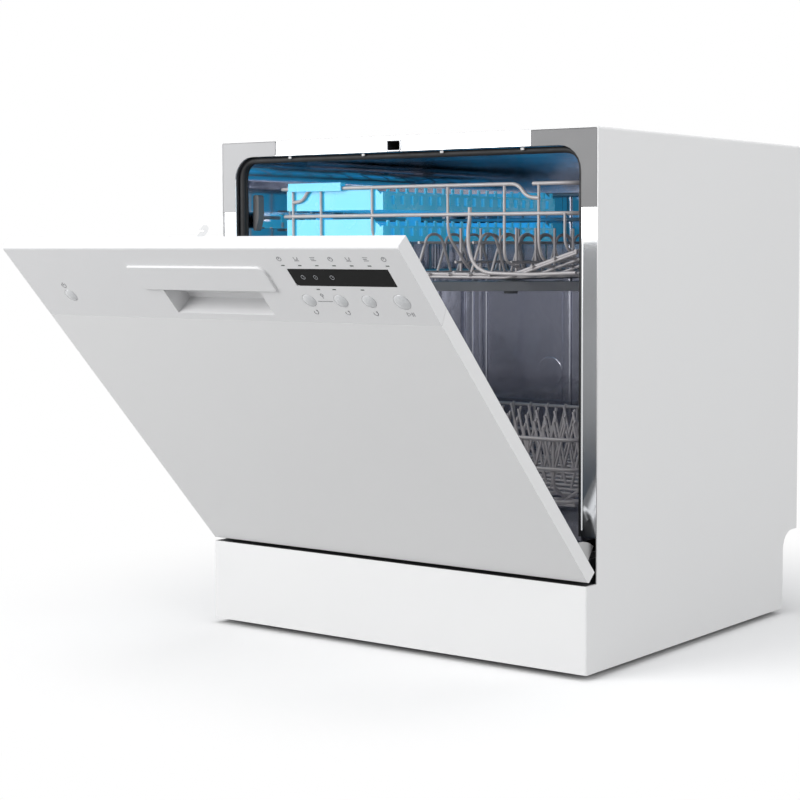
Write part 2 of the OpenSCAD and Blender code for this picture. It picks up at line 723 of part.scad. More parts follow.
// Latch hook, on its pin in the console's top
hook_z = slot[2] + 4.4;
hook_pin = [y_face + 10, hook_z - 6.2];
hook_x = [-7, -2];

module latch_hook() {
    tip = hinge_y + plug_reach;
    color(chrome) on_door() {
        slab_x(hook_x[0], hook_x[1]) {
            translate(hook_pin) circle(4);
            polygon([hook_pin + [0, 4], hook_pin - [0, 3], [edge_y - 4, hook_z - 1.2], [edge_y, hook_z],
                [tip - 4, hook_z], [tip, hook_z + 1.8], [tip, hook_z + 5.8], [tip - 7, hook_z + 5.8],
                [tip - 8, hook_z + 3.8], [edge_y - 2, hook_z + 3.8]]);
        }
        translate([0, hook_pin[0], hook_pin[1]]) rod_x(hook_x[0] - 3, hook_x[1] + 3, 1.5);
    }
}

dome = 1.6;

// A button with a domed face, a collar behind the console and a stem to the board
module button(x, r) {
    c = console_t;
    bulge = (r * r + dome * dome) / (2 * dome);
    color([0.85, 0.85, 0.85]) on_door() translate([x, 0, door_z1 - button_row]) {
        intersection() {
            rod_y(y_face - dome - 1, y_face + c, r);
            translate([0, y_face - dome + bulge, 0]) sphere(bulge);
        }
        rod_y(y_face + c - 0.5, y_face + c + fit, r);
        rod_y(y_face + c + fit, y_face + c + fit + 1.2, r + 1.6);
        rod_y(y_face + c + fit + 1, board_y - button_travel - fit, 3);
    }
}

module power_button() { button(power_x, button_r); }
module option_button_1() { button(option_x[0], button_r); }
module option_button_2() { button(option_x[1], button_r); }
module option_button_3() { button(option_x[2], button_r); }
module start_button() { button(start_x, start_r); }

// The upper basket's floor rises to the right from here
rise_x = basket_x - 94;
rise = 28;

module upper_basket_floor() {
    xs = spread(-basket_x + wire / 2, rise_x - wire / 2, 11);
    ys = spread(basket_y[0] + wire / 2, basket_y[1] - wire / 2, 9);
    color(wire_grey) {
        slab_z(upper_z - wire / 2, upper_z + wire / 2)
            grille(xs, ys, -basket_x, rise_x, basket_y[0], basket_y[1]);
        slope = atan2(rise, basket_x - rise_x);
        run = norm([rise, basket_x - rise_x]);
        translate([rise_x + wire / 2, 0, upper_z]) rotate([0, -slope, 0]) translate([0, 0, -wire / 2])
            linear_extrude(wire) grille(spread(run / 3, run - wire / 2, 3), ys, 0, run, basket_y[0], basket_y[1]);
    }
}

// An end wall of the upper basket in X and Z, with its bent top wire
module upper_end() {
    low = upper_z + wire / 2 + 0.02;
    high = upper_rim;
    for (x = spread(-basket_x + wire / 2, basket_x - wire / 2, 9))
        translate([x - wire / 2, x > rise_x ? low + rise : low])
            square([wire, upper_mid - (x > rise_x ? low + rise : low)]);
    translate([-basket_x, upper_mid - wire / 2]) square([2 * basket_x, wire]);
    polygon(strip(top_wire(), wire));
    for (x = [57 - basket_x, 112 - basket_x, -20, 80, basket_x - 72])
        translate([x, upper_mid]) square([wire, high - upper_mid]);
}

// Path of the bent top wire
function top_wire() = concat([[22 - basket_x, upper_mid + 14], [38 - basket_x, upper_mid + 15]],
    arc([42 - basket_x, upper_rim - 10], 10, 180, 90, 4),
    arc([basket_x - 74, upper_rim - 10], 10, 90, 0, 4),
    [[basket_x - 60, upper_mid + 15], [basket_x - 44, upper_mid + 14], [basket_x - 44, upper_mid]]);

module upper_side() {
    low = upper_z + wire / 2 + 0.02;
    y0 = basket_y[0] + wire + 0.1;
    y1 = basket_y[1] - wire - 0.1;
    for (y = spread(y0 + wire / 2, y1 - wire / 2, 9)) translate([y - wire / 2, low])
        square([wire, upper_rim - low]);
    for (z = [upper_mid, upper_rim - wire / 2]) translate([y0, z - wire / 2]) square([y1 - y0, wire]);
}

module upper_basket_walls() {
    color(wire_grey) {
        for (y = [basket_y[0], basket_y[1] - wire]) slab_y(y, y + wire) upper_end();
        slab_x(-basket_x, -basket_x + wire) upper_side();
        slab_x(basket_x - wire, basket_x) difference() {
            upper_side();
            translate([basket_y[0], 0]) square([basket_y[1] - basket_y[0] + 1, upper_z + rise + wire]);
        }
    }
}

// A looped wire along Y that stands on the floor: pitch, height and count of its loops
function loops(y0, pitch, n, low, high) =
    [for (i = [0:n * 8]) [y0 + pitch * i / 8, (low + high) / 2 - cos(i * 45) * (high - low) / 2]];

module looped_wire(x, y0, pitch, n, low, high) {
    slab_x(x - wire / 2, x + wire / 2) polygon(strip(loops(y0, pitch, n, low, high), wire));
}

module prong_row(x, ys, low, high) {
    slab_x(x - wire / 2, x + wire / 2) {
        translate([ys[0] - 12, low]) square([ys[len(ys) - 1] - ys[0] + 24, wire]);
        for (y = ys) translate([y - wire / 2, low]) square([wire, high - low]);
    }
}

module upper_tines() {
    low = upper_z + wire / 2;
    pitch = 40;
    y0 = basket_y[0] + 32;
    n = floor((basket_y[1] - 24 - y0) / pitch);
    color(wire_grey) {
        for (x = [-14, 66]) looped_wire(x, y0, pitch, n, low + wire / 2, low + 44);
        for (x = [26, 106]) prong_row(x, [for (i = [0:n - 1]) y0 + pitch * (i + 0.5)], low, low + 52);
    }
}

shelf_x = [16 - basket_x, 168 - basket_x];
shelf_y = [basket_y[0] + wire + 1, basket_y[1] - wire - 1];
shelf_t = 2.4;
shelf_teeth = 20;
lip_x = [24 - basket_x, 108 - basket_x];

// A cup shelf: a tray with ribs, slotted inner edge and closed ends
module cup_shelf(z, h, teeth) {
    t = shelf_t;
    color(cup_blue) difference() {
        union() {
            block([shelf_x[0], shelf_y[0], z], [shelf_x[1], shelf_y[1], z + t]);
            block([shelf_x[0], shelf_y[0], z], [shelf_x[0] + t, shelf_y[1], z + h]);
            for (y = [shelf_y[0], shelf_y[1] - t]) slab_y(y, y + t)
                polygon([[shelf_x[0], z], [shelf_x[1], z], [shelf_x[1], z + h * 0.55], [shelf_x[1] - 16, z + h],
                    [shelf_x[0], z + h]]);
            slab_x(shelf_x[1] - t, shelf_x[1]) union() {
                translate([shelf_y[0], z]) square([shelf_y[1] - shelf_y[0], h * 0.7]);
                for (i = [0:teeth - 1]) translate([shelf_y[0] + (i + 0.5) * (shelf_y[1] - shelf_y[0]) / teeth, z])
                    square([4, h * 0.95]);
            }
        }
        for (i = [0:teeth - 2])
            block([shelf_x[1] - t - 1, shelf_y[0] + (i + 0.8) * (shelf_y[1] - shelf_y[0]) / teeth, z + h * 0.24],
                [shelf_x[1] + 1, shelf_y[0] + (i + 1.2) * (shelf_y[1] - shelf_y[0]) / teeth, z + h * 0.6]);
        for (x = [shelf_x[0] + 16 : 26 : shelf_x[1] - 20], y = [shelf_y[0] + 20 : 60 : shelf_y[1] - 50])
            block([x, y, z - 1], [x + 12, y + 40, z + t + 1]);
    }
}

module cup_shelf_upper() {
    z = upper_mid + wire / 2 + 5;
    top = upper_rim + wire / 2 + fit;
    cup_shelf(z, top - z - 2, shelf_teeth);
    color(cup_blue) {
        block([lip_x[0], basket_y[0] - 2.3, top - 8], [lip_x[1], basket_y[0] - fit, top + 2]);
        block([lip_x[0], basket_y[0] - 2.3, top], [lip_x[1], shelf_y[0] + shelf_t, top + 2]);
        block([lip_x[0], shelf_y[0], top - 6], [lip_x[1], shelf_y[0] + shelf_t, top + 2]);
    }
}

module cup_shelf_lower() {
    z = upper_mid - 30;
    top = upper_mid + wire / 2 + fit;
    cup_shelf(z, 26, shelf_teeth);
    color(cup_blue) for (y = [shelf_y[0] + 53.4, shelf_y[1] - 131.4]) {
        block([-basket_x - 2.3, y, top - 8], [-basket_x - fit, y + 30, top + 2]);
        block([-basket_x - 2.3, y, top], [shelf_x[0] + shelf_t, y + 30, top + 2]);
        block([shelf_x[0], y, z + 20], [shelf_x[0] + shelf_t, y + 30, top + 2]);
    }
}

roller_x = [rail_x[0] + 1.5, rail_x[0] + 7];
roller_z = (rail_z[0] + rail_z[1]) / 2;
roller_y = [basket_y[0] + 147, basket_y[1] - 44];

module upper_wheel_clips() {
    color(grey) both_sides() for (y = roller_y) {
        block([basket_x, y - 10, roller_z - 10], [basket_x + 3, y + 10, roller_z + 12]);
        translate([0, y, roller_z]) rod_x(basket_x + 2, roller_x[1] + 1, 3);
        translate([0, y, roller_z]) rod_x(basket_x + 2, roller_x[0] - fit, 5);
    }
}

module upper_wheels(y) {
    color(grey) both_sides() translate([0, y, roller_z]) difference() {
        rod_x(roller_x[0], roller_x[1], roller_r);
        rod_x(roller_x[0] - 1, roller_x[1] + 1, 3.05);
    }
}

module upper_wheels_front() { upper_wheels(roller_y[0]); }
module upper_wheels_rear() { upper_wheels(roller_y[1]); }

module rails() {
    color(chrome) both_sides() difference() {
        block([rail_x[0], rail_y[0], rail_z[0]], [rail_x[1], rail_y[1], rail_z[1]]);
        block([rail_x[0] - 1, rail_y[0] - 1, rail_z[0] + rail_t], [rail_x[1] - rail_t, rail_y[1] + 1, rail_z[1] - rail_t]);
    }
}

module rail_stops() {
    color(grey) both_sides() slab_y(rail_y[0] - 10, rail_y[0])
        rounded([rail_x[0] + 0.5, rail_z[0] - 3], [rail_x[1] - 0.3, rail_z[1] + 21], 3);
}

// Conduit from the docking nozzle to the upper arm's hub, clipped under the basket
hub_z = upper_z - 10.4;
duct = [11, upper_z - wire / 2 - 7.2, upper_z - wire / 2];

module arm_conduit() {
    color(grey) difference() {
        union() {
            block([-duct[0], -10, duct[1]], [duct[0], dock_y - 12, duct[2]]);
            translate([0, 0, dock_z]) rod_y(dock_y - 13, dock_y - 1, 9);
            translate([0, 0, duct[1]]) cylinder(h = duct[2] - duct[1], r = 14);
            translate([0, 0, hub_z - 14]) cylinder(h = duct[1] - hub_z + 14 + eps, r = 6);
            translate([0, 0, hub_z - 16]) cylinder(h = 3, r = 9);
        }
        block([2 - duct[0], -4, duct[1] + 1.6], [duct[0] - 2, dock_y - 14, duct[2] - 1.6]);
        block([-5, dock_y - 15, duct[1] + 1.6], [5, dock_y, duct[2] - 1.6]);
    }
}

// A spray arm about the origin: a flat blade that tapers to its ends, with jets
module spray_arm(half, thick, bore) {
    difference() {
        union() {
            linear_extrude(thick) polygon(concat(arc([half - 13, 0], 13, -90, 90, 8),
                [[60, 22], [0, 26], [-60, 22]], arc([-half + 13, 0], 13, 90, 270, 8),
                [[-60, -22], [0, -26], [60, -22]]));
            cylinder(h = thick + 1, r = 19);
            for (x = [-half + 22 : 36 : half - 20]) if (abs(x) > 26)
                translate([x, 5 * sign(x), thick - eps]) cylinder(h = 1.2, r = 4);
        }
        translate([0, 0, -1]) cylinder(h = thick + 4, r = bore);
    }
}

module upper_spray_arm() {
    color(grey) translate([0, 0, hub_z - 12.5]) rotate(upper_arm_at) spray_arm(upper_arm, arm_t, 6.05);
}

module lower_spray_arm() {
    color(grey) translate([0, 0, arm_z]) rotate(lower_arm_at) spray_arm(lower_arm, arm_t, post_r + 0.05);
}

module lower_basket_floor() {
    color(wire_grey) slab_z(lower_z - wire / 2, lower_z + wire / 2)
        grille(spread(-basket_x + wire / 2, basket_x - wire / 2, 13),
            spread(basket_y[0] + wire / 2, basket_y[1] - wire / 2, 10),
            -basket_x, basket_x, basket_y[0], basket_y[1]);
}

module lower_wall(a, b, n) {
    low = lower_z + wire / 2 + 0.02;
    for (x = spread(a + wire / 2, b - wire / 2, n)) translate([x - wire / 2, low])
        square([wire, lower_rim - low]);
    for (z = [lower_rim - wire / 2, (lower_rim + lower_z) / 2]) translate([a, z - wire / 2])
        square([b - a, wire]);
}

module lower_basket_walls() {
    y0 = basket_y[0] + wire + 0.1;
    y1 = basket_y[1] - wire - 0.1;
    color(wire_grey) {
        for (y = [basket_y[0], basket_y[1] - wire]) slab_y(y, y + wire) lower_wall(-basket_x, basket_x, 12);
        for (x = [-basket_x, basket_x - wire]) slab_x(x, x + wire) lower_wall(y0, y1, 10);
    }
}

module lower_tines() {
    low = lower_z + wire / 2;
    color(wire_grey) for (y = [basket_y[0] + 42 : 32 : basket_y[1] - 34]) slab_y(y - wire / 2, y + wire / 2) {
        translate([32 - basket_x, low]) square([2 * basket_x - 64, wire]);
        for (x = spread(37 - basket_x, basket_x - 37, 11)) translate([x - wire / 2, low]) square([wire, lower_h + 4]);
    }
}

wheel_x = [basket_x + 5, basket_x + 13];
wheel_y = [basket_y[0] + 46, basket_y[1] - 46];
wheel_z = tub_z0 + fit + wheel_r;

module lower_wheel_clips() {
    color(grey) both_sides() for (y = wheel_y) {
        block([basket_x, y - 12, wheel_z - 8], [basket_x + 3, y + 12, lower_z + 22]);
        translate([0, y, wheel_z]) rod_x(basket_x + 2, wheel_x[1] + 1, 4);
        translate([0, y, wheel_z]) rod_x(basket_x + 2, wheel_x[0] - fit, 6);
    }
}

module lower_wheels(y) {
    color(grey) both_sides() translate([0, y, wheel_z]) difference() {
        rod_x(wheel_x[0], wheel_x[1], wheel_r);
        rod_x(wheel_x[0] - 1, wheel_x[1] + 1, 4.05);
    }
}

module lower_wheels_front() { lower_wheels(wheel_y[0]); }
module lower_wheels_rear() { lower_wheels(wheel_y[1]); }

cabinet_shell();
kick_plate();
base_tray();
rear_panel();
tub_wrapper();
tub_back();
tub_floor();
front_frame();
corner_plates();
door_gasket();
latch_housing();
rail_brackets();
sump();
wash_pump();
drain_pump();
water_softener();
inlet_valve();
cord_gland();
feed_pipe();
feet();
hinge_brackets();
filter_cup();
salt_cap();
door_panel();
console();
door_liner();
hinge_arms();
display_window();
control_board();
handle_plate();
dispenser_body();
liner_screws();
handle_lever();
latch_hook();
power_button();
option_button_1();
option_button_2();
option_button_3();
start_button();
dispenser_lid();
rinse_aid_cap();
upper_basket_floor();
upper_basket_walls();
upper_tines();
cup_shelf_upper();
cup_shelf_lower();
upper_wheel_clips();
arm_conduit();
upper_spray_arm();
rails();
rail_stops();
upper_wheels_front();
upper_wheels_rear();
lower_basket_floor();
lower_basket_walls();
lower_tines();
lower_wheel_clips();
lower_wheels_front();
lower_wheels_rear();
lower_spray_arm();
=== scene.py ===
"""Dresses a countertop dishwasher: its enamel, console, steel tub, wire baskets and cup shelves.

Run it as a script in Blender 4.5. Places in the code are millimetres, which mm() turns into
Blender's metres. The panel's sizes, the thickness of wires and the materials are in metres.
"""

import json
import math

import bmesh
import bpy
from mathutils import Matrix, Vector

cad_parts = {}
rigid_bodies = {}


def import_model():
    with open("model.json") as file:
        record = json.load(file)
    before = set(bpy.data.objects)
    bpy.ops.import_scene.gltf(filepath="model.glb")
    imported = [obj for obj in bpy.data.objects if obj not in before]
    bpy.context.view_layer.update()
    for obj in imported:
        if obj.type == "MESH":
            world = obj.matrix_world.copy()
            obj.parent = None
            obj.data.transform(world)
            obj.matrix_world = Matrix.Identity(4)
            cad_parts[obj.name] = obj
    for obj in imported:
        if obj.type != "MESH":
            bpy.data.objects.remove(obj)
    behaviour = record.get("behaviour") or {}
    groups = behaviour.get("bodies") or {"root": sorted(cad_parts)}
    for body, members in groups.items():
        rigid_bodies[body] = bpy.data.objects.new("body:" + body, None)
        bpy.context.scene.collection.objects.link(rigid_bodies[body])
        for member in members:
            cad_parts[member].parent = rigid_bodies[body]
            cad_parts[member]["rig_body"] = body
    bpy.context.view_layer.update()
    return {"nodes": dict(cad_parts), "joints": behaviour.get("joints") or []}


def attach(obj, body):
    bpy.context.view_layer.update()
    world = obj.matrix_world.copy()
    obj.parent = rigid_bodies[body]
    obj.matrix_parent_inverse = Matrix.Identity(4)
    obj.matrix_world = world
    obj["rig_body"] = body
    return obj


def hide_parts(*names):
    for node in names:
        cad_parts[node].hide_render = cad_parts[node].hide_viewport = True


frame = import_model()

bl_info = {
    "name": "Countertop Dishwasher",
    "version": (1, 0, 0),
    "blender": (4, 5, 0),
    "location": "View3D > Sidebar > Dishwasher",
    "description": "Builds the looks of a countertop dishwasher round its solid model",
    "category": "Object",
}

DOOR_HINGE = next(j for j in frame["joints"] if j["name"] == "door_hinge")
HINGE = Vector(DOOR_HINGE["pos_m"])
DOOR_OPEN = math.radians(-DOOR_HINGE["range_deg"][0])
ON_DOOR = Matrix.Translation(HINGE) @ Matrix.Rotation(DOOR_OPEN, 4, "X") @ Matrix.Translation(-HINGE)

# The door as it stands shut, and what borders it, in millimetres
FACE_Y = -250.0
DOOR_TOP = 595.0
DOOR_HALF = 275.0
SEAM_BELOW = 100.8
RECESS_BELOW = 92.0
KICK_TOP = 103.0
FRAME_Y = -230.0

# The tub and its pressed ribs
TUB_X, TUB_TOP, TUB_REAR = 253.0, 576.0, 212.0
MOUTH_FOOT = 160.0
RIB_WIDTH = 16.0
RIB_SUNK = 3.0
RIB_FOOT, SIDE_RIB_TOP, REAR_RIB_TOP = 203.0, 480.0, 540.0
SIDE_RIBS_Y = (-150, -60, 30, 120, 180)
REAR_RIBS_X = (-220, -196, -55, 55, 196, 220)
DISC_X, DISC_Z = -83.0, 295.0
SLOT_X, SLOT_Z = (-14.2, 5.8), (577.0, 589.2)
SEAL_FOOT, SEAL_INSET, SEAL_RADIUS = 152.0, 4.0, 24.0
SEAL_CLIPS_X = (-166, -52, 63, 174)

# The console's print, as places to the right of the middle and depths below the door's top
PROGRAM_ENDS = (120.1, 250.6)
PROGRAM_ROW, PROGRAM_DASH_ROW, OPTION_DASH_ROW = 15.0, 23.7, 55.0
OPTION_DASHES_X = (147, 167.3, 202.7)
OPTIONS_X, OPTION_ROW = (126.4, 167.1, 202.6), 86.0
WINDOW_SYMBOLS_X, WINDOW_ROW = (137, 153, 174), 39.0
POWER_X, POWER_ROW = -218.5, 55.5
LINK_X, LINK_ROW = 147.0, 71.0

# The baskets: the upper one's floor rises to the right of RISE_X
BASKET_X = 222.0
BASKET_Y = (-192.0, 184.0)
UPPER_FLOOR, UPPER_MID, UPPER_RIM = 435.0, 504.0, 540.0
RIM_Z = UPPER_RIM - 2.6
RISE_X, RISE = 130.0, 28.0
FRONT_UPRIGHTS = ((-194, 470), (-149, 470), (-69, 481), (44, 481), (124, 451), (171, 468), (206, 472))
LOOP_ROWS_X, PRONG_ROWS_X = (-14, 66), (26, 106)
ROW_START, ROW_COUNT, ROW_PITCH = -140, 8, 40
LOWER_FLOOR, LOWER_RIM = 182.0, 254.0
PLATE_ROW_START, PLATE_ROW_COUNT, PLATE_ROW_PITCH = -150, 10, 32
PLATE_ROW_HALF, PRONG_HALF = 190, 168
LEAF_X, LEAF_Z, LEAF_WAIST_X, LEAF_WAIST_Z = (235.6, 244.6), (487, 531), 240.5, 502


def mm(x, y, z):
    """A point given in millimetres, in Blender's metres."""
    return Vector((x, y, z)) / 1000


# Sizes and colours


class DishwasherSizes(bpy.types.PropertyGroup):
    rim_wire: bpy.props.FloatProperty(
        name="Rim wire", description="Thickness of the rim wires of the baskets",
        default=0.0046, min=0.003, max=0.006, subtype="DISTANCE")
    thin_wire: bpy.props.FloatProperty(
        name="Thin wire", description="Thickness of the other basket wires",
        default=0.0034, min=0.002, max=0.005, subtype="DISTANCE")
    edge_radius: bpy.props.FloatProperty(
        name="Edge radius", description="Rounding of the door's outer edges",
        default=0.0026, min=0.0005, max=0.004, subtype="DISTANCE")
    rib_height: bpy.props.FloatProperty(
        name="Rib height", description="How far the pressed ribs stand out of the tub's walls",
        default=0.003, min=0.001, max=0.005, subtype="DISTANCE")


def colour_prop(name, words, value):
    return bpy.props.FloatVectorProperty(
        name=name, description=words, subtype="COLOR", size=3, min=0, max=1, default=value)


class DishwasherColours(bpy.types.PropertyGroup):
    enamel: colour_prop("Enamel", "White enamel of the cabinet and door", (0.80, 0.80, 0.80))
    console: colour_prop("Console", "Moulded plastic of the console", (0.77, 0.77, 0.775))
    steel: colour_prop("Steel", "Polished steel of the tub", (0.62, 0.63, 0.70))
    wire: colour_prop("Wire coating", "Nylon coating of the basket wires", (0.50, 0.475, 0.48))
    cup_shelf: colour_prop("Cup shelf", "Blue plastic of the cup shelves", (0.06, 0.52, 0.80))
    corner: colour_prop("Corner plate", "Grey plates at the frame's upper corners", (0.185, 0.185, 0.188))
    print_ink: colour_prop("Print", "Ink of the console's symbols", (0.10, 0.10, 0.11))


# Materials


def new_material(name):
    material = bpy.data.materials.new(name)
    material.use_nodes = True
    shader = material.node_tree.nodes["Principled BSDF"]
    return material, material.node_tree, shader


def noise(tree, scale, detail=3.0, stretch=(1, 1, 1)):
    """A noise on Object coordinates, in units of one over metres."""
    place = tree.nodes.new("ShaderNodeTexCoord")
    mapping = tree.nodes.new("ShaderNodeMapping")
    mapping.inputs["Scale"].default_value = stretch
    texture = tree.nodes.new("ShaderNodeTexNoise")
    texture.inputs["Scale"].default_value = scale
    texture.inputs["Detail"].default_value = detail
    tree.links.new(place.outputs["Object"], mapping.inputs["Vector"])
    tree.links.new(mapping.outputs["Vector"], texture.inputs["Vector"])
    return texture.outputs["Fac"]


def spread_value(tree, value, low, high):
    """Maps a 0 to 1 value onto low to high."""
    node = tree.nodes.new("ShaderNodeMapRange")
    node.inputs["From Min"].default_value = 0.25
    node.inputs["From Max"].default_value = 0.75
    node.inputs["To Min"].default_value = low
    node.inputs["To Max"].default_value = high
    tree.links.new(value, node.inputs["Value"])
    return node.outputs["Result"]


def shade_between(tree, value, dark, light):
    """A colour between dark and light, by a 0 to 1 value."""
    node = tree.nodes.new("ShaderNodeMix")
    node.data_type = "RGBA"
    node.inputs["A"].default_value = (*dark, 1)
    node.inputs["B"].default_value = (*light, 1)
    tree.links.new(value, node.inputs["Factor"])
    return node.outputs["Result"]


def add_bump(tree, shader, height, strength, distance):
    node = tree.nodes.new("ShaderNodeBump")
    node.inputs["Strength"].default_value = strength
    node.inputs["Distance"].default_value = distance
    tree.links.new(height, node.inputs["Height"])
    tree.links.new(node.outputs["Normal"], shader.inputs["Normal"])


def mottled(name, colour, amount, scale, rough, grain=None, metallic=0.0, coat=0.0, stretch=(1, 1, 1)):
    """A finish with slight mottling, uneven gloss and a fine surface grain.

    rough is the least and the most roughness, and grain is (scale, strength, distance).
    """
    material, tree, shader = new_material(name)
    cloud = noise(tree, scale, stretch=stretch)
    dark = [max(0, c * (1 - amount)) for c in colour]
    light = [min(1, c * (1 + amount)) for c in colour]
    tree.links.new(shade_between(tree, cloud, dark, light), shader.inputs["Base Color"])
    tree.links.new(spread_value(tree, cloud, rough[0], rough[1]), shader.inputs["Roughness"])
    shader.inputs["Metallic"].default_value = metallic
    shader.inputs["Coat Weight"].default_value = coat
    shader.inputs["Coat Roughness"].default_value = 0.08
    if grain:
        size, strength, distance = grain
        add_bump(tree, shader, noise(tree, size, 2.0, stretch), strength, distance)
    return material


def painted_glow(material, colour, glow):
    """Paints a glow onto thin plastic: emission that stands in for the light that would pass through it."""
    shader = material.node_tree.nodes["Principled BSDF"]
    shader.inputs["Emission Color"].default_value = (*colour, 1)
    shader.inputs["Emission Strength"].default_value = glow
    return material


def painted_light_along_x(name, colour, lighter, ends):
    """A satin grey with painted light: lighter at the left end of the part, by a factor, as if lit more
    strongly there.
    """
    material, tree, shader = new_material(name)
    place = tree.nodes.new("ShaderNodeTexCoord")
    split = tree.nodes.new("ShaderNodeSeparateXYZ")
    scale = tree.nodes.new("ShaderNodeMapRange")
    scale.inputs["From Min"].default_value, scale.inputs["From Max"].default_value = ends
    tree.links.new(place.outputs["Object"], split.inputs["Vector"])
    tree.links.new(split.outputs["X"], scale.inputs["Value"])
    light = [c * lighter for c in colour]
    tree.links.new(shade_between(tree, scale.outputs["Result"], light, colour), shader.inputs["Base Color"])
    cloud = noise(tree, 20)
    tree.links.new(spread_value(tree, cloud, 0.42, 0.52), shader.inputs["Roughness"])
    add_bump(tree, shader, noise(tree, 800, 2.0), 0.06, 0.0001)
    return material


MATERIALS = {}


def make_materials(colours):
    c = {k: tuple(getattr(colours, k)) for k in
         ("enamel", "console", "steel", "wire", "cup_shelf", "corner", "print_ink")}
    m = MATERIALS
    m["enamel"] = mottled("enamel", c["enamel"], 0.012, 9, (0.34, 0.42), (420, 0.06, 0.0002), coat=0.15)
    m["console"] = mottled("console_plastic", c["console"], 0.012, 14, (0.38, 0.46), (900, 0.05, 0.0001))
    m["steel"] = mottled("tub_steel", c["steel"], 0.25, 5, (0.06, 0.20), (26, 0.22, 0.002), metallic=1.0)
    m["flange"] = mottled("bright_steel", (0.86, 0.87, 0.88), 0.04, 8, (0.05, 0.12), (14, 0.10, 0.001),
                          metallic=1.0)
    m["brushed"] = mottled("zinc_steel", (0.52, 0.53, 0.55), 0.08, 60, (0.28, 0.42), (500, 0.12, 0.0001),
                           metallic=1.0, stretch=(0.1, 1, 1))
    m["wire"] = mottled("wire_coating", c["wire"], 0.08, 70, (0.26, 0.38), (600, 0.08, 0.0001), coat=0.25)
    # The cup shelves carry a painted glow in their own blue.
    m["cup_shelf"] = painted_glow(mottled("cup_shelf_plastic", c["cup_shelf"], 0.06, 25, (0.22, 0.32),
                                         (500, 0.05, 0.0001), coat=0.3), c["cup_shelf"], 0.30)
    # Painted light: the left corner plate is painted lighter than the right one, as if lit from the left.
    m["corner"] = painted_light_along_x("corner_plate_grey", c["corner"], 2.6, (-0.2, 0.2))
    m["rubber"] = mottled("black_rubber", (0.012, 0.012, 0.013), 0.3, 90, (0.55, 0.75), (1200, 0.2, 0.0002))
    m["black"] = mottled("black_plastic", (0.022, 0.022, 0.024), 0.2, 60, (0.42, 0.55), (900, 0.15, 0.0001))
    m["grey"] = mottled("grey_plastic", (0.20, 0.21, 0.22), 0.06, 40, (0.36, 0.48), (700, 0.10, 0.0001))
    m["arm"] = mottled("spray_arm_grey", (0.38, 0.39, 0.41), 0.06, 40, (0.30, 0.42), (700, 0.10, 0.0001))
    m["inner_door"] = mottled("inner_door_steel", (0.24, 0.244, 0.25), 0.10, 6, (0.24, 0.34),
                              (26, 0.15, 0.001), metallic=1.0)
    m["grey_mid"] = mottled("rail_stop_grey", (0.17, 0.17, 0.175), 0.05, 40, (0.34, 0.44),
                            (700, 0.10, 0.0001))
    m["light_grey"] = mottled("light_grey_plastic", (0.50, 0.50, 0.50), 0.04, 40, (0.38, 0.48),
                              (700, 0.10, 0.0001))
    m["glass"] = mottled("display_glass", (0.006, 0.006, 0.006), 0.15, 30, (0.38, 0.44))
    m["glass"].node_tree.nodes["Principled BSDF"].inputs["Specular IOR Level"].default_value = 0.08
    m["dash"] = mottled("light_dash_grey", (0.10, 0.10, 0.10), 0.1, 200, (0.4, 0.5))
    m["button"] = mottled("button_pearl", (0.62, 0.63, 0.64), 0.05, 180, (0.22, 0.30),
                          (900, 0.05, 0.0001), coat=0.5)
    m["ink"] = mottled("symbol_ink", c["print_ink"], 0.1, 200, (0.45, 0.6))
    m["lit"] = mottled("symbol_pale", (0.42, 0.43, 0.45), 0.05, 200, (0.4, 0.5))
    m["clip"] = mottled("gasket_clip_white", (0.7, 0.7, 0.7), 0.05, 100, (0.4, 0.5))
    m["board"] = mottled("solder_mask", (0.02, 0.16, 0.06), 0.25, 160, (0.35, 0.5), (300, 0.2, 0.0002))
    m["dark_steel"] = mottled("dark_zinc", (0.16, 0.17, 0.18), 0.1, 90, (0.3, 0.45), (500, 0.1, 0.0001),
                              metallic=0.8)


# Modelling helpers


def only(*objects):
    """Selects these objects and nothing else."""
    if bpy.context.object and bpy.context.object.mode != "OBJECT":
        bpy.ops.object.mode_set(mode="OBJECT")
    bpy.ops.object.select_all(action="DESELECT")
    for o in objects:
        o.select_set(True)
    bpy.context.view_layer.objects.active = objects[0]


def select_edges(piece, test):
    """In edit mode, selects the edges whose two ends and fold angle pass the test."""
    bpy.ops.mesh.select_mode(type="EDGE")
    bpy.ops.mesh.select_all(action="DESELECT")
    mesh = bmesh.from_edit_mesh(piece.data)
    found = 0
    for edge in mesh.edges:
        if len(edge.link_faces) != 2 or edge.calc_face_angle(0) < math.radians(25):
            continue
        a, b = (v.co * 1000 for v in edge.verts)
        if test(a, b):
            edge.select = True
            found += 1
    mesh.select_flush_mode()
    bmesh.update_edit_mesh(piece.data)
    return found


def smooth(piece, angle=32):
    """Smooth shading up to an angle, with normals that lean to the larger faces."""
    only(piece)
    bpy.ops.object.shade_smooth_by_angle(angle=math.radians(angle))
    bpy.ops.object.modifier_add(type="WEIGHTED_NORMAL")
    modifier = piece.modifiers[-1]
    modifier.keep_sharp = True
    modifier.weight = 100
    bpy.ops.object.modifier_apply(modifier=modifier.name)


def settle(piece, body, material):
    """Puts a finished piece on its body with its finish."""
    only(piece)
    bpy.ops.object.transform_apply(location=True, rotation=True, scale=True)
    piece.data.materials.clear()
    piece.data.materials.append(MATERIALS[material])
    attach(piece, body)
    return piece


def body_of_node(node):
    return frame["nodes"][node]["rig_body"]


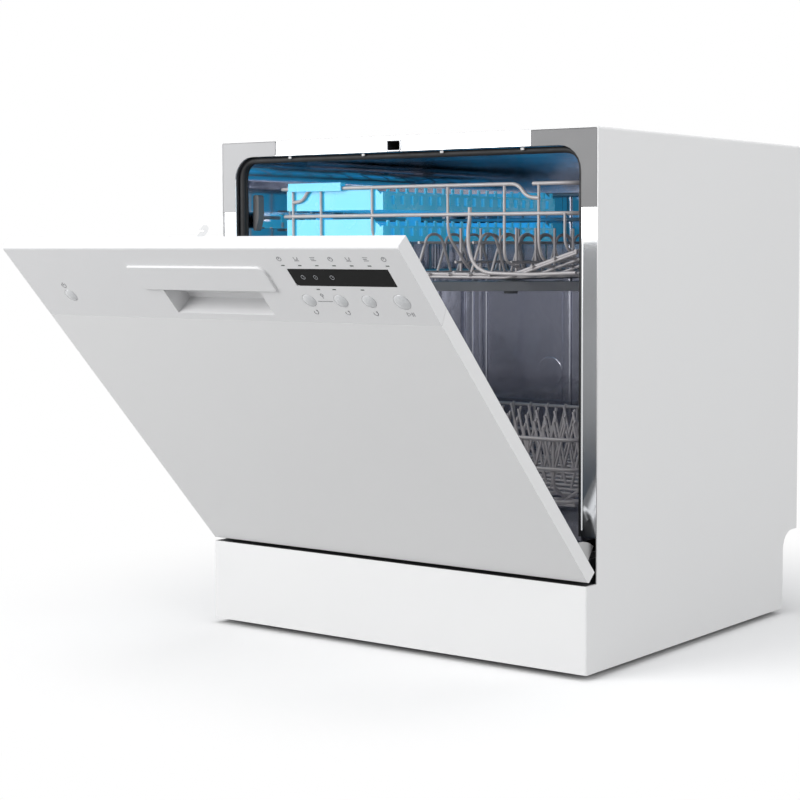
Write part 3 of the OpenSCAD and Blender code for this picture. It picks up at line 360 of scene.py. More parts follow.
def dressed(node, name, material, rims=(), on_door=False, angle=32):
    """A piece made from a copy of a node: doubles merged, flat faces joined, and rims rounded.

    rims is a list of (test, offset in mm, segments), and the tests see the door as it is shut.
    """
    source = frame["nodes"][node]
    piece = bpy.data.objects.new(name, source.data.copy())
    bpy.context.scene.collection.objects.link(piece)
    if on_door:
        piece.data.transform(ON_DOOR.inverted())
    only(piece)
    bpy.ops.object.mode_set(mode="EDIT")
    bpy.ops.mesh.select_all(action="SELECT")
    bpy.ops.mesh.remove_doubles(threshold=0.00001)
    bpy.ops.mesh.dissolve_limited(angle_limit=math.radians(0.6))
    for test, offset, segments in rims:
        if select_edges(piece, test):
            bpy.ops.mesh.bevel(offset=offset / 1000, segments=segments, affect="EDGES", clamp_overlap=True)
    bpy.ops.object.mode_set(mode="OBJECT")
    if on_door:
        piece.data.transform(ON_DOOR)
    smooth(piece, angle)
    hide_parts(node)
    return settle(piece, body_of_node(node), material)


def wires(name, paths, thickness, body, material="wire", on_door=False, sides=2):
    """Round wires along lists of points in millimetres, made one mesh with closed ends."""
    curve = bpy.data.curves.new(name, "CURVE")
    curve.dimensions = "3D"
    curve.bevel_depth = thickness / 2
    curve.bevel_resolution = sides
    curve.use_fill_caps = True
    for path in paths:
        closed = (Vector(path[0]) - Vector(path[-1])).length < 0.01
        points = path[:-1] if closed else path
        spline = curve.splines.new("POLY")
        spline.points.add(len(points) - 1)
        for target, point in zip(spline.points, points):
            target.co = (*mm(*point), 1)
        spline.use_cyclic_u = closed
    piece = bpy.data.objects.new(name, curve)
    bpy.context.scene.collection.objects.link(piece)
    only(piece)
    bpy.ops.object.convert(target="MESH")
    piece = bpy.context.object
    piece.name = name
    if on_door:
        piece.data.transform(ON_DOOR)
    smooth(piece, 50)
    return settle(piece, body, material)


def rounded_path(points, radius, steps=5, closed=False):
    """The same path with each corner turned into an arc-like bend."""
    points = [Vector(p) for p in points]
    n = len(points)
    out = []
    for i, p in enumerate(points):
        if not closed and i in (0, n - 1):
            out.append(p)
            continue
        before, after = points[i - 1], points[(i + 1) % n]
        reach = min(radius, (before - p).length / 2.01, (after - p).length / 2.01)
        start = p + (before - p).normalized() * reach
        end = p + (after - p).normalized() * reach
        for k in range(steps + 1):
            t = k / steps
            out.append(start * (1 - t) ** 2 + p * 2 * t * (1 - t) + end * t ** 2)
    if closed:
        out.append(out[0].copy())
    return out


def evenly(a, b, n):
    return [a + (b - a) * i / (n - 1) for i in range(n)]


def rounded_block(name, low, high, bevel, segments=3):
    """A block with rounded edges, from its corners in millimetres."""
    low, high = Vector(low), Vector(high)
    bpy.ops.object.select_all(action="DESELECT")
    bpy.ops.mesh.primitive_cube_add(size=1, location=(low + high) / 2000)
    piece = bpy.context.object
    piece.name = name
    piece.dimensions = (high - low) / 1000
    bpy.ops.object.transform_apply(location=True, rotation=True, scale=True)
    bpy.ops.object.mode_set(mode="EDIT")
    bpy.ops.mesh.select_all(action="SELECT")
    bpy.ops.mesh.bevel(offset=bevel / 1000, segments=segments, affect="EDGES", clamp_overlap=True)
    bpy.ops.object.mode_set(mode="OBJECT")
    return piece


def joined(name, pieces):
    only(*pieces)
    bpy.ops.object.join()
    piece = bpy.context.object
    piece.name = name
    return piece


# The cabinet


def near(value, target, gap=0.3):
    return abs(value - target) < gap


class DISHWASHER_OT_cabinet(bpy.types.Operator):
    """Dresses the enamelled shell, the kick plate with a black strip of painted shade for the gap under the
    door, the base and what it holds
    """
    bl_idname = "dishwasher.cabinet"
    bl_label = "Cabinet"

    def execute(self, context):
        upper_front = (lambda a, b: near(a.z, KICK_TOP) and near(b.z, KICK_TOP)
                       and a.y < FACE_Y + 1 and b.y < FACE_Y + 1)
        dressed("cabinet_shell", "shell", "enamel")
        dressed("kick_plate", "kick_panel", "enamel",
                rims=[(upper_front, 1.0, 3)])
        # Painted shade: a thin black sheet on top of the kick plate stands in for the dark gap under the
        # door.
        strip = rounded_block("gap_shade_strip", (3 - DOOR_HALF, FACE_Y + 1.6, KICK_TOP - 0.2),
                              (DOOR_HALF - 3, FRAME_Y - 1, KICK_TOP + 0.3), 0.15, 2)
        smooth(strip)
        settle(strip, "cabinet", "rubber")
        dressed("base_tray", "base", "black")
        dressed("rear_panel", "rear", "brushed")
        dressed("feet", "rubber_feet", "rubber",
                rims=[(lambda a, b: near(a.z, 0) and near(b.z, 0), 1.0, 2)])
        for node, name, finish, slot in (
                ("sump", "sump_pot", "grey", "grey_plastic"),
                ("wash_pump", "wash_motor", "black", "black_plastic"),
                ("drain_pump", "drain_motor", "black", "black_plastic"),
                ("water_softener", "softener", "light_grey", "grey_plastic"),
                ("inlet_valve", "inlet_fitting", "light_grey", "grey_plastic"),
                ("cord_gland", "gland", "black", "black_plastic"),
                ("feed_pipe", "water_pipe", "black", "grey_plastic"),
                ("hinge_brackets", "hinge_plates", "dark_steel", "dark_steel"),
                ("latch_housing", "latch_box", "black", "black_plastic"),
                ("filter_cup", "filter", "grey", "grey_plastic"),
                ("salt_cap", "salt_lid", "black", "black_plastic"),
                ("rail_brackets", "rail_holders", "light_grey", "grey_plastic")):
            dressed(node, name, finish)
        return {"FINISHED"}


# The tub


def pressed_ribs(name, places, top, thick_x, thick_y):
    """Upright ribs with round edges, centred on the places."""
    ribs = []
    for x, y in places:
        low = (x - thick_x / 2, y - thick_y / 2, RIB_FOOT)
        high = (x + thick_x / 2, y + thick_y / 2, top)
        ribs.append(rounded_block("rib", low, high, min(thick_x, thick_y) * 0.49, 3))
    piece = joined(name, ribs)
    smooth(piece)
    settle(piece, "cabinet", "steel")


class DISHWASHER_OT_tub(bpy.types.Operator):
    """Makes the steel tub with its pressed ribs, the front frame, the corner plates and the gasket"""
    bl_idname = "dishwasher.tub"
    bl_label = "Tub"

    def execute(self, context):
        thick = context.scene.dishwasher_sizes.rib_height * 1000 * 2
        out = thick / 2 - RIB_SUNK
        dressed("tub_wrapper", "tub", "steel")
        dressed("tub_back", "tub_rear_wall", "steel")
        dressed("tub_floor", "tub_bottom", "steel")
        dressed("front_frame", "front_flange", "flange")
        dressed("corner_plates", "corner_covers", "corner",
                rims=[(lambda a, b: a.y < FRAME_Y + 1 and b.y < FRAME_Y + 1, 0.6, 2)])
        sides = [(s * (TUB_X + out), y) for s in (-1, 1) for y in SIDE_RIBS_Y]
        pressed_ribs("side_ribs", sides, SIDE_RIB_TOP, thick, RIB_WIDTH)
        rear = [(x, TUB_REAR + out) for x in REAR_RIBS_X]
        pressed_ribs("rear_ribs", rear, REAR_RIB_TOP, RIB_WIDTH, thick)
        self.embossed_ring()
        self.bright_edges()
        self.gasket()
        return {"FINISHED"}

    def embossed_ring(self):
        """The round embossed place low on the rear wall."""
        bpy.ops.object.select_all(action="DESELECT")
        bpy.ops.mesh.primitive_cylinder_add(
            vertices=40, radius=0.021, depth=0.004, location=mm(DISC_X, TUB_REAR + 1.1, DISC_Z),
            rotation=(math.pi / 2, 0, 0))
        disc = bpy.context.object
        disc.name = "embossed_disc"
        bpy.ops.object.transform_apply(location=True, rotation=True, scale=True)
        bpy.ops.object.mode_set(mode="EDIT")
        if select_edges(disc, lambda a, b: a.y < TUB_REAR and b.y < TUB_REAR):
            bpy.ops.mesh.bevel(offset=0.0008, segments=2, affect="EDGES")
        bpy.ops.object.mode_set(mode="OBJECT")
        smooth(disc)
        settle(disc, "cabinet", "steel")

    def bright_edges(self):
        """The turned edge of the tub's mouth and the rim of the latch slot."""
        x, y, top = TUB_X + 0.9, FRAME_Y + 1.8, TUB_TOP + 0.9
        mouth = rounded_path([(-x, y, MOUTH_FOOT), (-x, y, top), (x, y, top), (x, y, MOUTH_FOOT)], 30, 9)
        (left, right), (low, high), y = SLOT_X, SLOT_Z, FRAME_Y + 1.4
        slot = rounded_path([(left, y, low), (right, y, low), (right, y, high), (left, y, high)],
                            2.4, 3, closed=True)
        wires("mouth_edge", [mouth], 0.0022, "cabinet", "flange", sides=3)
        wires("slot_edge", [slot], 0.0026, "cabinet", "brushed", sides=3)

    def gasket(self):
        """A lipped rubber seal round the mouth, with its pale clips."""
        side, top = TUB_X - SEAL_INSET, TUB_TOP - SEAL_INSET
        line = [(-side, SEAL_FOOT), (-side, top), (side, top), (side, SEAL_FOOT)]
        for name, y, thick in (("seal_bulb", -220, 0.0074), ("seal_lip", -214.5, 0.0056)):
            path = rounded_path([(x, y, z) for x, z in line], SEAL_RADIUS, 8)
            piece = wires(name, [path], thick, "cabinet", "rubber", sides=3)
            if name == "seal_bulb":
                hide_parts("door_gasket")
        front, top = FRAME_Y + 3.4, TUB_TOP - 0.4
        clips = [rounded_block("clip", (x - 2.2, front, top - 3), (x + 2.2, front + 2, top), 0.5, 2)
                 for x in SEAL_CLIPS_X]
        piece = joined("seal_clips", clips)
        smooth(piece)
        settle(piece, "cabinet", "clip")


# The door


def outer_side(a, b):
    return abs(a.x) > DOOR_HALF - 0.3 and abs(b.x) > DOOR_HALF - 0.3


class DISHWASHER_OT_door(bpy.types.Operator):
    """Rounds the door's edges and dresses the console, the handle and the controls"""
    bl_idname = "dishwasher.door"
    bl_label = "Door"

    def execute(self, context):
        edge = context.scene.dishwasher_sizes.edge_radius * 1000
        front_sides = (lambda a, b: outer_side(a, b) and a.y < FACE_Y + 3.2 and b.y < FACE_Y + 3.2
                       and abs(a.z - b.z) > 30)
        seam = (lambda a, b: near(a.y, FACE_Y) and near(b.y, FACE_Y) and near(a.z, b.z, 0.1)
                and near(a.z, DOOR_TOP - SEAM_BELOW, 0.6) and abs(a.x - b.x) > 60)
        dressed("door_panel", "door_face", "enamel",
                [(front_sides, edge, 4), (seam, 0.8, 2)], True)
        recess_rim = (lambda a, b: near(a.y, FACE_Y) and near(b.y, FACE_Y) and near(a.z, b.z, 0.1)
                      and near(a.z, DOOR_TOP - RECESS_BELOW) and abs(a.x - b.x) > 60)
        dressed("console", "console_face", "console",
                [(front_sides, edge, 4), (recess_rim, 2.0, 4), (seam, 0.8, 2)], True)
        front = lambda a, b: a.y < FACE_Y - 2 and b.y < FACE_Y - 2
        dressed("handle_plate", "handle_cover", "console", [(front, 1.3, 4)], True)
        dressed("display_window", "display_glass", "glass", (), True)
        dressed("handle_lever", "grip_lever", "console", (), True)
        dressed("door_liner", "inner_door", "inner_door", (), True)
        dressed("dispenser_body", "dispenser", "light_grey", (), True)
        dressed("dispenser_lid", "dispenser_flap", "light_grey", (), True)
        dressed("rinse_aid_cap", "rinse_cap", "black", (), True)
        dressed("hinge_arms", "hinge_cheeks", "light_grey", (), True)
        dressed("latch_hook", "latch_claw", "flange", (), True)
        dressed("liner_screws", "inner_door_screws", "brushed", (), True)
        dressed("control_board", "circuit", "board", (), True)
        for node in ("power_button", "option_button_1", "option_button_2", "option_button_3", "start_button"):
            dressed(node, node + "_cap", "button", (), True, 50)
        return {"FINISHED"}


class DISHWASHER_OT_symbols(bpy.types.Operator):
    """Draws the generic symbols, the light dashes and the marks of the console"""
    bl_idname = "dishwasher.symbols"
    bl_label = "Symbols"

    def on_face(self, x, below):
        return (x, FACE_Y, DOOR_TOP - below)

    def ring(self, x, below, r, start=0, end=360, n=16):
        angles = [math.radians(start + (end - start) * i / n) for i in range(n + 1)]
        return [self.on_face(x + r * math.sin(a), below - r * math.cos(a)) for a in angles]

    def line(self, *points):
        return [self.on_face(*p) for p in points]

    def execute(self, context):
        ink = []
        row = PROGRAM_ROW
        top = evenly(*PROGRAM_ENDS, 7)
        for i, x in enumerate(top):
            if i % 3 == 0:
                ink += [self.ring(x, row, 2.6), self.line((x, row), (x, row - 1.8))]
            elif i % 3 == 1:
                ink += [self.line((x - 3, row + 2.4), (x + 3, row + 2.4)),
                        self.line((x - 2.4, row - 2.2), (x - 1.6, row + 1), (x + 1.6, row + 1),
                                  (x + 2.4, row - 2.2))]
            else:
                ink += [self.line((x - 3, row - 2), (x + 3, row - 2)),
                        self.line((x - 3, row), (x + 1.5, row)),
                        self.line((x - 3, row + 2), (x + 3, row + 2))]
        row = OPTION_ROW
        for x in OPTIONS_X:
            ink += [self.ring(x, row, 2.6, 30, 300),
                    self.line((x + 1.2, row - 2.8), (x + 2.6, row - 2.4), (x + 2.2, row - 0.8))]
        high, low = row - 2.4, row + 2.4
        ink += [self.line((241.2, high), (245.6, row), (241.2, low), (241.2, high)),
                self.line((247.2, high), (247.2, low)), self.line((249.4, high), (249.4, low))]
        ink += [self.ring(POWER_X, POWER_ROW, 3, 35, 325),
                self.line((POWER_X, POWER_ROW - 0.3), (POWER_X, POWER_ROW - 4.3))]
        x, row = LINK_X, LINK_ROW
        ink += [self.line((x - 9.5, row), (x + 9.5, row)), self.line((x, row - 6.5), (x, row - 4)),
                self.ring(x, row - 8.5, 1.6)]
        wires("console_symbols", ink, 0.0006, "door", "ink", True, 1)
        pale = []
        for x in WINDOW_SYMBOLS_X:
            pale += [self.ring(x, WINDOW_ROW, 2.4), self.line((x, WINDOW_ROW), (x + 1.2, WINDOW_ROW - 1))]
        wires("display_symbols", pale, 0.0005, "door", "lit", True, 1)
        self.dashes(top)
        return {"FINISHED"}

    def dashes(self, top):
        """The dark ends of the light pipes: a row over the window and three below it."""
        places = [(x, PROGRAM_DASH_ROW) for x in top] + [(x, OPTION_DASH_ROW) for x in OPTION_DASHES_X]
        dashes = []
        for x, below in places:
            z = DOOR_TOP - below
            low, high = (x - 2.0, FACE_Y - 0.05, z - 0.5), (x + 2.0, FACE_Y + 0.8, z + 0.5)
            dashes.append(rounded_block("dash", low, high, 0.1, 1))
        piece = joined("light_dashes", dashes)
        piece.data.transform(ON_DOOR)
        settle(piece, "door", "dash")


# The upper basket


def loop_at(z, inset=0.0, radius=26):
    """A closed rim round the basket at height z."""
    x, y0, y1 = BASKET_X - inset, BASKET_Y[0] + inset, BASKET_Y[1] - inset
    corners = [(-x, y0, z), (x, y0, z), (x, y1, z), (-x, y1, z)]
    return rounded_path(corners, radius, 6, closed=True)


def upper_floor_z(x):
    """Height of the upper basket's floor."""
    return UPPER_FLOOR + max(0.0, x - RISE_X) / (BASKET_X - RISE_X) * RISE


class DISHWASHER_OT_upper_basket(bpy.types.Operator):
    """Bends and welds the wires of the upper basket"""
    bl_idname = "dishwasher.upper_basket"
    bl_label = "Upper basket"

    def floor(self, thin):
        y0, y1 = BASKET_Y[0] + 2, BASKET_Y[1] - 2
        paths = []
        for x in evenly(-BASKET_X + 2, BASKET_X - 2, 16):
            z = upper_floor_z(x)
            paths.append([(x, y0, z), (x, y1, z)])
        for y in evenly(y0 + 4, y1 - 4, 10):
            x, z = BASKET_X - 2, UPPER_FLOOR - 3
            paths.append(rounded_path([(-x, y, z), (RISE_X, y, z), (x, y, z + RISE)], 14))
        piece = wires("upper_floor_wires", paths, thin, "upper_basket")
        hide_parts("upper_basket_floor")

    def top_wire(self, y):
        """The bent wire over the front or rear, with a step down at each end."""
        low = UPPER_MID + 17
        points = [(-194, y, low), (-178, y, low + 1.5), (-168, y, RIM_Z), (143, y, RIM_Z),
                  (155, y, low + 1.5), (172, y, low)]
        return rounded_path(points, 9, 6)

    def side_rim(self, s):
        """A side's rim, which turns round both corners to the outer uprights."""
        x, y0, y1 = s * (BASKET_X - 2.4), BASKET_Y[0] + 3, BASKET_Y[1] - 3
        inner = 163 if s > 0 else -185
        return rounded_path([(inner, y0, RIM_Z), (x, y0, RIM_Z), (x, y1, RIM_Z), (inner, y1, RIM_Z)], 24, 7)

    def front_loop(self, y):
        """The wire that hooks over the middle wire and turns below the raised part."""
        points = [(75.4, y, 512), (75.4, y, 498), (73.2, y, 488), (73.2, y, 466), (81, y, 446), (98, y, 437),
                  (155, y + 1.5, 435.5), (BASKET_X - 3, y + 3, 438)]
        return rounded_path(points, 10, 5)

    def execute(self, context):
        sizes = context.scene.dishwasher_sizes
        self.floor(sizes.thin_wire)
        y0, y1 = BASKET_Y[0] + 2.6, BASKET_Y[1] - 2.6
        rims = [loop_at(UPPER_MID, 2.6), self.top_wire(y0), self.top_wire(y1), self.front_loop(y0)]
        rims += [self.side_rim(s) for s in (-1, 1)]
        low_rim = [(BASKET_X - 2.6, y0 + 8, upper_floor_z(BASKET_X)), (RISE_X, y0 + 8, UPPER_FLOOR),
                   (-BASKET_X + 2.6, y0 + 8, UPPER_FLOOR), (-BASKET_X + 2.6, y1, UPPER_FLOOR),
                   (RISE_X, y1, UPPER_FLOOR), (BASKET_X - 2.6, y1, upper_floor_z(BASKET_X))]
        rims.append(rounded_path(low_rim, 12, 5, closed=True))
        piece = wires("upper_rim_wires", rims, sizes.rim_wire, "upper_basket")
        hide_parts("upper_basket_walls")
        ups = []
        for x, bend in FRONT_UPRIGHTS:
            top = RIM_Z if x < 200 else UPPER_MID
            foot = upper_floor_z(x)
            back = 8 if x > 160 else 42
            points = [(x, y0, top), (x, y0, bend), (x, y0 + back, foot + 4), (x, y0 + 120, foot)]
            ups.append(rounded_path(points, 12))
            ups.append([(x, y1, top), (x, y1, foot)])
        for s in (-1, 1):
            for y in evenly(y0 + 22, y1 - 22, 9):
                foot = upper_floor_z(s * BASKET_X)
                ups.append([(s * (BASKET_X - 3), y, RIM_Z), (s * (BASKET_X - 3), y, foot)])
        wires("upper_uprights", ups, sizes.thin_wire, "upper_basket")
        self.rows(sizes.thin_wire)
        return {"FINISHED"}

    def rows(self, thin):
        """Looped wires with round crests, and rows of single prongs, along the basket."""
        paths = []
        low, high = UPPER_FLOOR + 2, UPPER_FLOOR + 47
        along = [ROW_START + ROW_PITCH * k for k in range(ROW_COUNT)]
        for x in LOOP_ROWS_X:
            for y in along:
                loop = [(x - 2, y - 31, low), (x - 1, y - 13, high - 4), (x, y - 6, high), (x, y + 6, high),
                        (x + 1, y + 13, high - 4), (x + 2, y + 31, low)]
                paths.append(rounded_path(loop, 9, 4))
            paths.append([(x - 4, -165, UPPER_FLOOR + 37), (x - 4, 165, UPPER_FLOOR + 37)])
            paths.append([(x, -170, low), (x, 170, low)])
        for x in PRONG_ROWS_X:
            for y in along:
                paths.append([(x, y, low), (x, y, UPPER_FLOOR + 54)])
            paths.append([(x + 3, -155, UPPER_FLOOR + 14), (x + 3, 155, UPPER_FLOOR + 14)])
            paths.append([(x, -155, low), (x, 155, low)])
        piece = wires("upper_row_wires", paths, thin, "upper_basket")
        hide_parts("upper_tines")


class DISHWASHER_OT_shelves(bpy.types.Operator):
    """Dresses the cup shelves, the rails, the wheels and the spray arms"""
    bl_idname = "dishwasher.shelves"
    bl_label = "Shelves, rails and arms"

    def execute(self, context):
        sharp = lambda a, b: True
        dressed("cup_shelf_upper", "cup_tray_upper", "cup_shelf")
        dressed("cup_shelf_lower", "cup_tray_lower", "cup_shelf")
        dressed("upper_wheel_clips", "upper_axles", "light_grey")
        dressed("arm_conduit", "arm_pipe", "grey")
        dressed("rails", "slide_rails", "flange")
        self.rail_leaves()
        dressed("lower_wheel_clips", "lower_axles", "light_grey")
        for node in ("upper_wheels_front", "upper_wheels_rear", "lower_wheels_front", "lower_wheels_rear"):
            dressed(node, node + "_tyres", "light_grey", [(sharp, 0.8, 2)])
        for node in ("upper_spray_arm", "lower_spray_arm"):
            blade = lambda a, b: (a - b).length > 9
            dressed(node, node + "_blade", "arm", [(blade, 2.0, 3)])
        return {"FINISHED"}

    def rail_leaves(self):
        """The rails' end stops: a leaf with a round top that narrows downwards."""
        leaves = []
        for side in (-1, 1):
            mesh = bpy.data.meshes.new("leaf")
            leaf = bpy.data.objects.new("leaf", mesh)
            bpy.context.scene.collection.objects.link(leaf)
            (near_x, far_x), (low, high) = LEAF_X, LEAF_Z
            outline = rounded_path([(near_x, 0, high), (far_x, 0, high), (far_x, 0, low),
                                    (LEAF_WAIST_X, 0, low), (near_x, 0, LEAF_WAIST_Z)],
                                   4.4, 5, closed=True)[:-1]
            shape = bmesh.new()
            front = [shape.verts.new(mm(side * p.x, BASKET_Y[0] - 15, p.z)) for p in outline]
            shape.faces.new(front)
            pushed = bmesh.ops.extrude_face_region(shape, geom=shape.faces[:])
            moved = [v for v in pushed["geom"] if isinstance(v, bmesh.types.BMVert)]
            bmesh.ops.translate(shape, verts=moved, vec=mm(0, 10, 0))
            bmesh.ops.recalc_face_normals(shape, faces=shape.faces)
            shape.to_mesh(mesh)
            shape.free()
            leaves.append(leaf)
        piece = joined("rail_ends", leaves)
        bpy.ops.object.mode_set(mode="EDIT")
        if select_edges(piece, lambda a, b: near(a.y, b.y, 0.1)):
            bpy.ops.mesh.bevel(offset=0.0012, segments=3, affect="EDGES", clamp_overlap=True)
        bpy.ops.object.mode_set(mode="OBJECT")
        smooth(piece, 40)
        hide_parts("rail_stops")
        settle(piece, body_of_node("rail_stops"), "grey_mid")


# The lower basket


class DISHWASHER_OT_lower_basket(bpy.types.Operator):
    """Bends and welds the wires of the lower basket"""
    bl_idname = "dishwasher.lower_basket"
    bl_label = "Lower basket"

    def execute(self, context):
        sizes = context.scene.dishwasher_sizes
        y0, y1 = BASKET_Y[0] + 2, BASKET_Y[1] - 2
        floor = [[(x, y0, LOWER_FLOOR), (x, y1, LOWER_FLOOR)]
                 for x in evenly(-BASKET_X + 3, BASKET_X - 3, 15)]
        floor += [[(-BASKET_X + 2, y, LOWER_FLOOR - 3), (BASKET_X - 2, y, LOWER_FLOOR - 3)]
                  for y in evenly(y0 + 3, y1 - 3, 11)]
        piece = wires("lower_floor_wires", floor, sizes.thin_wire, "lower_basket")
        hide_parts("lower_basket_floor")
        rims = [loop_at(LOWER_RIM - 2.5, 2.4), loop_at((LOWER_RIM + LOWER_FLOOR) / 2, 2.4),
                loop_at(LOWER_FLOOR, 2.4)]
        piece = wires("lower_rim_wires", rims, sizes.rim_wire, "lower_basket")
        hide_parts("lower_basket_walls")
        ups = []
        for x in evenly(-PLATE_ROW_HALF, PLATE_ROW_HALF, 12):
            for y, back in ((y0 + 2.4, 1), (y1 - 2.4, -1)):
                ups.append(rounded_path([(x, y, LOWER_RIM - 2), (x, y, LOWER_FLOOR + 16),
                                         (x, y + 26 * back, LOWER_FLOOR)], 12))
        for s in (-1, 1):
            for y in evenly(y0 + 26, y1 - 26, 11):
                x = s * (BASKET_X - 4.4)
                ups.append(rounded_path([(x, y, LOWER_RIM - 2), (x, y, LOWER_FLOOR + 16),
                                         (x - 26 * s, y, LOWER_FLOOR)], 12))
        wires("lower_uprights", ups, sizes.thin_wire, "lower_basket")
        rows = []
        low, high = LOWER_FLOOR + 4, LOWER_FLOOR + 77
        for k in range(PLATE_ROW_COUNT):
            y = PLATE_ROW_START + PLATE_ROW_PITCH * k
            rows.append([(-PLATE_ROW_HALF, y, low), (PLATE_ROW_HALF, y, low)])
            lean = -18 if k % 2 else 20
            for x in evenly(-PRONG_HALF, PRONG_HALF, 13):
                rows.append([(x, y, low), (x - lean, y + 3, high)])
        piece = wires("lower_row_wires", rows, sizes.thin_wire, "lower_basket")
        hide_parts("lower_tines")
        return {"FINISHED"}


# The stage


def seen_directly(tree):
    """1 for what the camera, a mirror or clear glass shows, and 0 for what only lights the scene."""
    path = tree.nodes.new("ShaderNodeLightPath")
    value = path.outputs["Is Camera Ray"]
    for name in ("Is Glossy Ray", "Is Transmission Ray"):
        either = tree.nodes.new("ShaderNodeMath")
        either.operation = "MAXIMUM"
        tree.links.new(value, either.inputs[0])
        tree.links.new(path.outputs[name], either.inputs[1])
        value = either.outputs["Value"]
    return value


# The camera's place and axes, its frame in pixels, and the lamps and floor (the fade in metres)
CAMERA_PLACE = (1334.65, -1899.25, 465.11)
CAMERA_RIGHT = Vector((0.8148, 0.5797, 0.0))
CAMERA_UP = Vector((-0.0389, 0.0547, 0.9977))
FOCAL_PIXELS, MIDDLE_PIXEL, IMAGE_PIXELS = 1846.8, (500.2, 372.6), 800
SENSOR = 36.0
LAMP_SIZE = 2400
FLOOR_FADE = (0.32, 0.8)
WORLD_LIGHT = 0.42


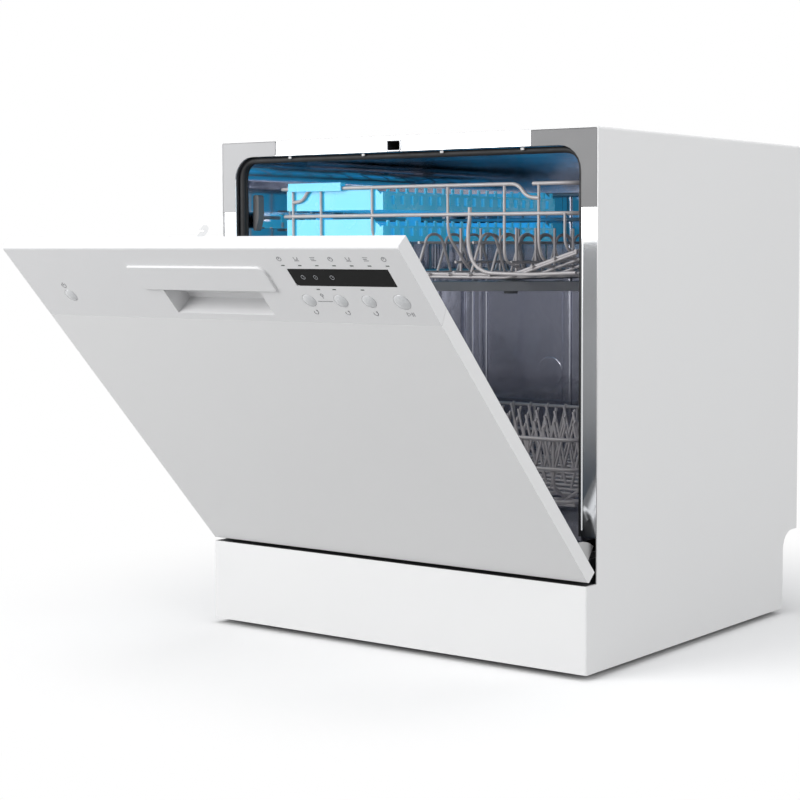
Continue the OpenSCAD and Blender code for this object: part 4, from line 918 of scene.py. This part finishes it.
class DISHWASHER_OT_stage(bpy.types.Operator):
    """Sets the camera, the lamps, the pale floor and the plain world"""
    bl_idname = "dishwasher.stage"
    bl_label = "Stage"

    def execute(self, context):
        self.camera(context.scene)
        self.floor()
        self.lamp("key_lamp", (-1500, -3000, 1450), 95)
        self.lamp("side_lamp", (3200, -600, 1500), 50)
        self.lamp("top_lamp", (0, 200, 3000), 24)
        self.world(context.scene)
        context.scene.view_settings.view_transform = "Standard"
        return {"FINISHED"}

    def camera(self, scene):
        """The photograph's viewing angle and frame."""
        data = bpy.data.cameras.new("photo_camera")
        camera = bpy.data.objects.new("photo_camera", data)
        scene.collection.objects.link(camera)
        right, up = CAMERA_RIGHT.normalized(), CAMERA_UP.normalized()
        turn = Matrix((right, up, right.cross(up))).transposed().to_4x4()
        camera.matrix_world = Matrix.Translation(mm(*CAMERA_PLACE)) @ turn
        data.sensor_width = SENSOR
        data.lens = FOCAL_PIXELS / IMAGE_PIXELS * SENSOR
        data.shift_x = (IMAGE_PIXELS / 2 - MIDDLE_PIXEL[0]) / IMAGE_PIXELS
        data.shift_y = (MIDDLE_PIXEL[1] - IMAGE_PIXELS / 2) / IMAGE_PIXELS
        data.clip_start, data.clip_end = 0.05, 100
        scene.camera = camera

    def lamp(self, name, place, power):
        """A square lamp that points at the object's middle."""
        data = bpy.data.lights.new(name, "AREA")
        data.size = LAMP_SIZE / 1000
        data.energy = power
        lamp = bpy.data.objects.new(name, data)
        bpy.context.scene.collection.objects.link(lamp)
        lamp.location = mm(*place)
        lamp.rotation_euler = (mm(0, 0, 300) - lamp.location).to_track_quat("-Z", "Y").to_euler()

    def floor(self):
        """A pale floor that keeps the shadow near the object and is plain white further off."""
        bpy.ops.object.select_all(action="DESELECT")
        bpy.ops.mesh.primitive_plane_add(size=60, location=(0, 0, 0))
        floor = bpy.context.object
        floor.name = "pale_floor"
        material, tree, shader = new_material("pale_floor")
        shader.inputs["Roughness"].default_value = 0.9
        place = tree.nodes.new("ShaderNodeNewGeometry")
        away = tree.nodes.new("ShaderNodeVectorMath")
        away.operation = "LENGTH"
        edge = tree.nodes.new("ShaderNodeMapRange")
        edge.interpolation_type = "SMOOTHSTEP"
        edge.inputs["From Min"].default_value, edge.inputs["From Max"].default_value = FLOOR_FADE
        tree.links.new(place.outputs["Position"], away.inputs[0])
        tree.links.new(away.outputs["Value"], edge.inputs["Value"])
        seen = seen_directly(tree)
        base = tree.nodes.new("ShaderNodeMix")
        base.data_type = "RGBA"
        base.inputs["A"].default_value = (0.36, 0.36, 0.36, 1)
        base.inputs["B"].default_value = (0.95, 0.95, 0.95, 1)
        tree.links.new(seen, base.inputs["Factor"])
        tree.links.new(base.outputs["Result"], shader.inputs["Base Color"])
        white = tree.nodes.new("ShaderNodeEmission")
        white.inputs["Strength"].default_value = 1.0
        share = tree.nodes.new("ShaderNodeMath")
        share.operation = "MULTIPLY"
        tree.links.new(seen, share.inputs[0])
        tree.links.new(edge.outputs["Result"], share.inputs[1])
        mix = tree.nodes.new("ShaderNodeMixShader")
        tree.links.new(share.outputs["Value"], mix.inputs["Fac"])
        tree.links.new(shader.outputs["BSDF"], mix.inputs[1])
        tree.links.new(white.outputs["Emission"], mix.inputs[2])
        tree.links.new(mix.outputs["Shader"], tree.nodes["Material Output"].inputs["Surface"])
        floor.data.materials.append(material)

    def world(self, scene):
        """A white surround that lights the object softly."""
        world = bpy.data.worlds.new("plain_world")
        scene.world = world
        world.use_nodes = True
        tree = world.node_tree
        tree.nodes.clear()
        out = tree.nodes.new("ShaderNodeOutputWorld")
        seen = tree.nodes.new("ShaderNodeBackground")
        light = tree.nodes.new("ShaderNodeBackground")
        seen.inputs["Color"].default_value = (1, 1, 1, 1)
        light.inputs["Color"].default_value = (0.95, 0.97, 1, 1)
        light.inputs["Strength"].default_value = WORLD_LIGHT
        mix = tree.nodes.new("ShaderNodeMixShader")
        tree.links.new(seen_directly(tree), mix.inputs["Fac"])
        tree.links.new(light.outputs[0], mix.inputs[1])
        tree.links.new(seen.outputs[0], mix.inputs[2])
        tree.links.new(mix.outputs[0], out.inputs["Surface"])


class DISHWASHER_PT_panel(bpy.types.Panel):
    bl_label = "Dishwasher"
    bl_space_type = "VIEW_3D"
    bl_region_type = "UI"
    bl_category = "Dishwasher"

    def draw(self, context):
        for group in (context.scene.dishwasher_sizes, context.scene.dishwasher_colours):
            for key in group.bl_rna.properties.keys():
                if key not in ("rna_type", "name"):
                    self.layout.prop(group, key)
        for operator in OPERATORS:
            self.layout.operator(operator.bl_idname)


OPERATORS = (DISHWASHER_OT_stage, DISHWASHER_OT_cabinet, DISHWASHER_OT_tub, DISHWASHER_OT_door,
             DISHWASHER_OT_symbols, DISHWASHER_OT_upper_basket, DISHWASHER_OT_shelves,
             DISHWASHER_OT_lower_basket)
CLASSES = (DishwasherSizes, DishwasherColours, *OPERATORS, DISHWASHER_PT_panel)


def register():
    for c in CLASSES:
        bpy.utils.register_class(c)
    bpy.types.Scene.dishwasher_sizes = bpy.props.PointerProperty(type=DishwasherSizes)
    bpy.types.Scene.dishwasher_colours = bpy.props.PointerProperty(type=DishwasherColours)


def unregister():
    del bpy.types.Scene.dishwasher_colours
    del bpy.types.Scene.dishwasher_sizes
    for c in reversed(CLASSES):
        bpy.utils.unregister_class(c)


def main():
    register()
    make_materials(bpy.context.scene.dishwasher_colours)
    bpy.ops.dishwasher.stage()
    bpy.ops.dishwasher.cabinet()
    bpy.ops.dishwasher.tub()
    bpy.ops.dishwasher.door()
    bpy.ops.dishwasher.symbols()
    bpy.ops.dishwasher.upper_basket()
    bpy.ops.dishwasher.shelves()
    bpy.ops.dishwasher.lower_basket()


if __name__ == "__main__":
    main()
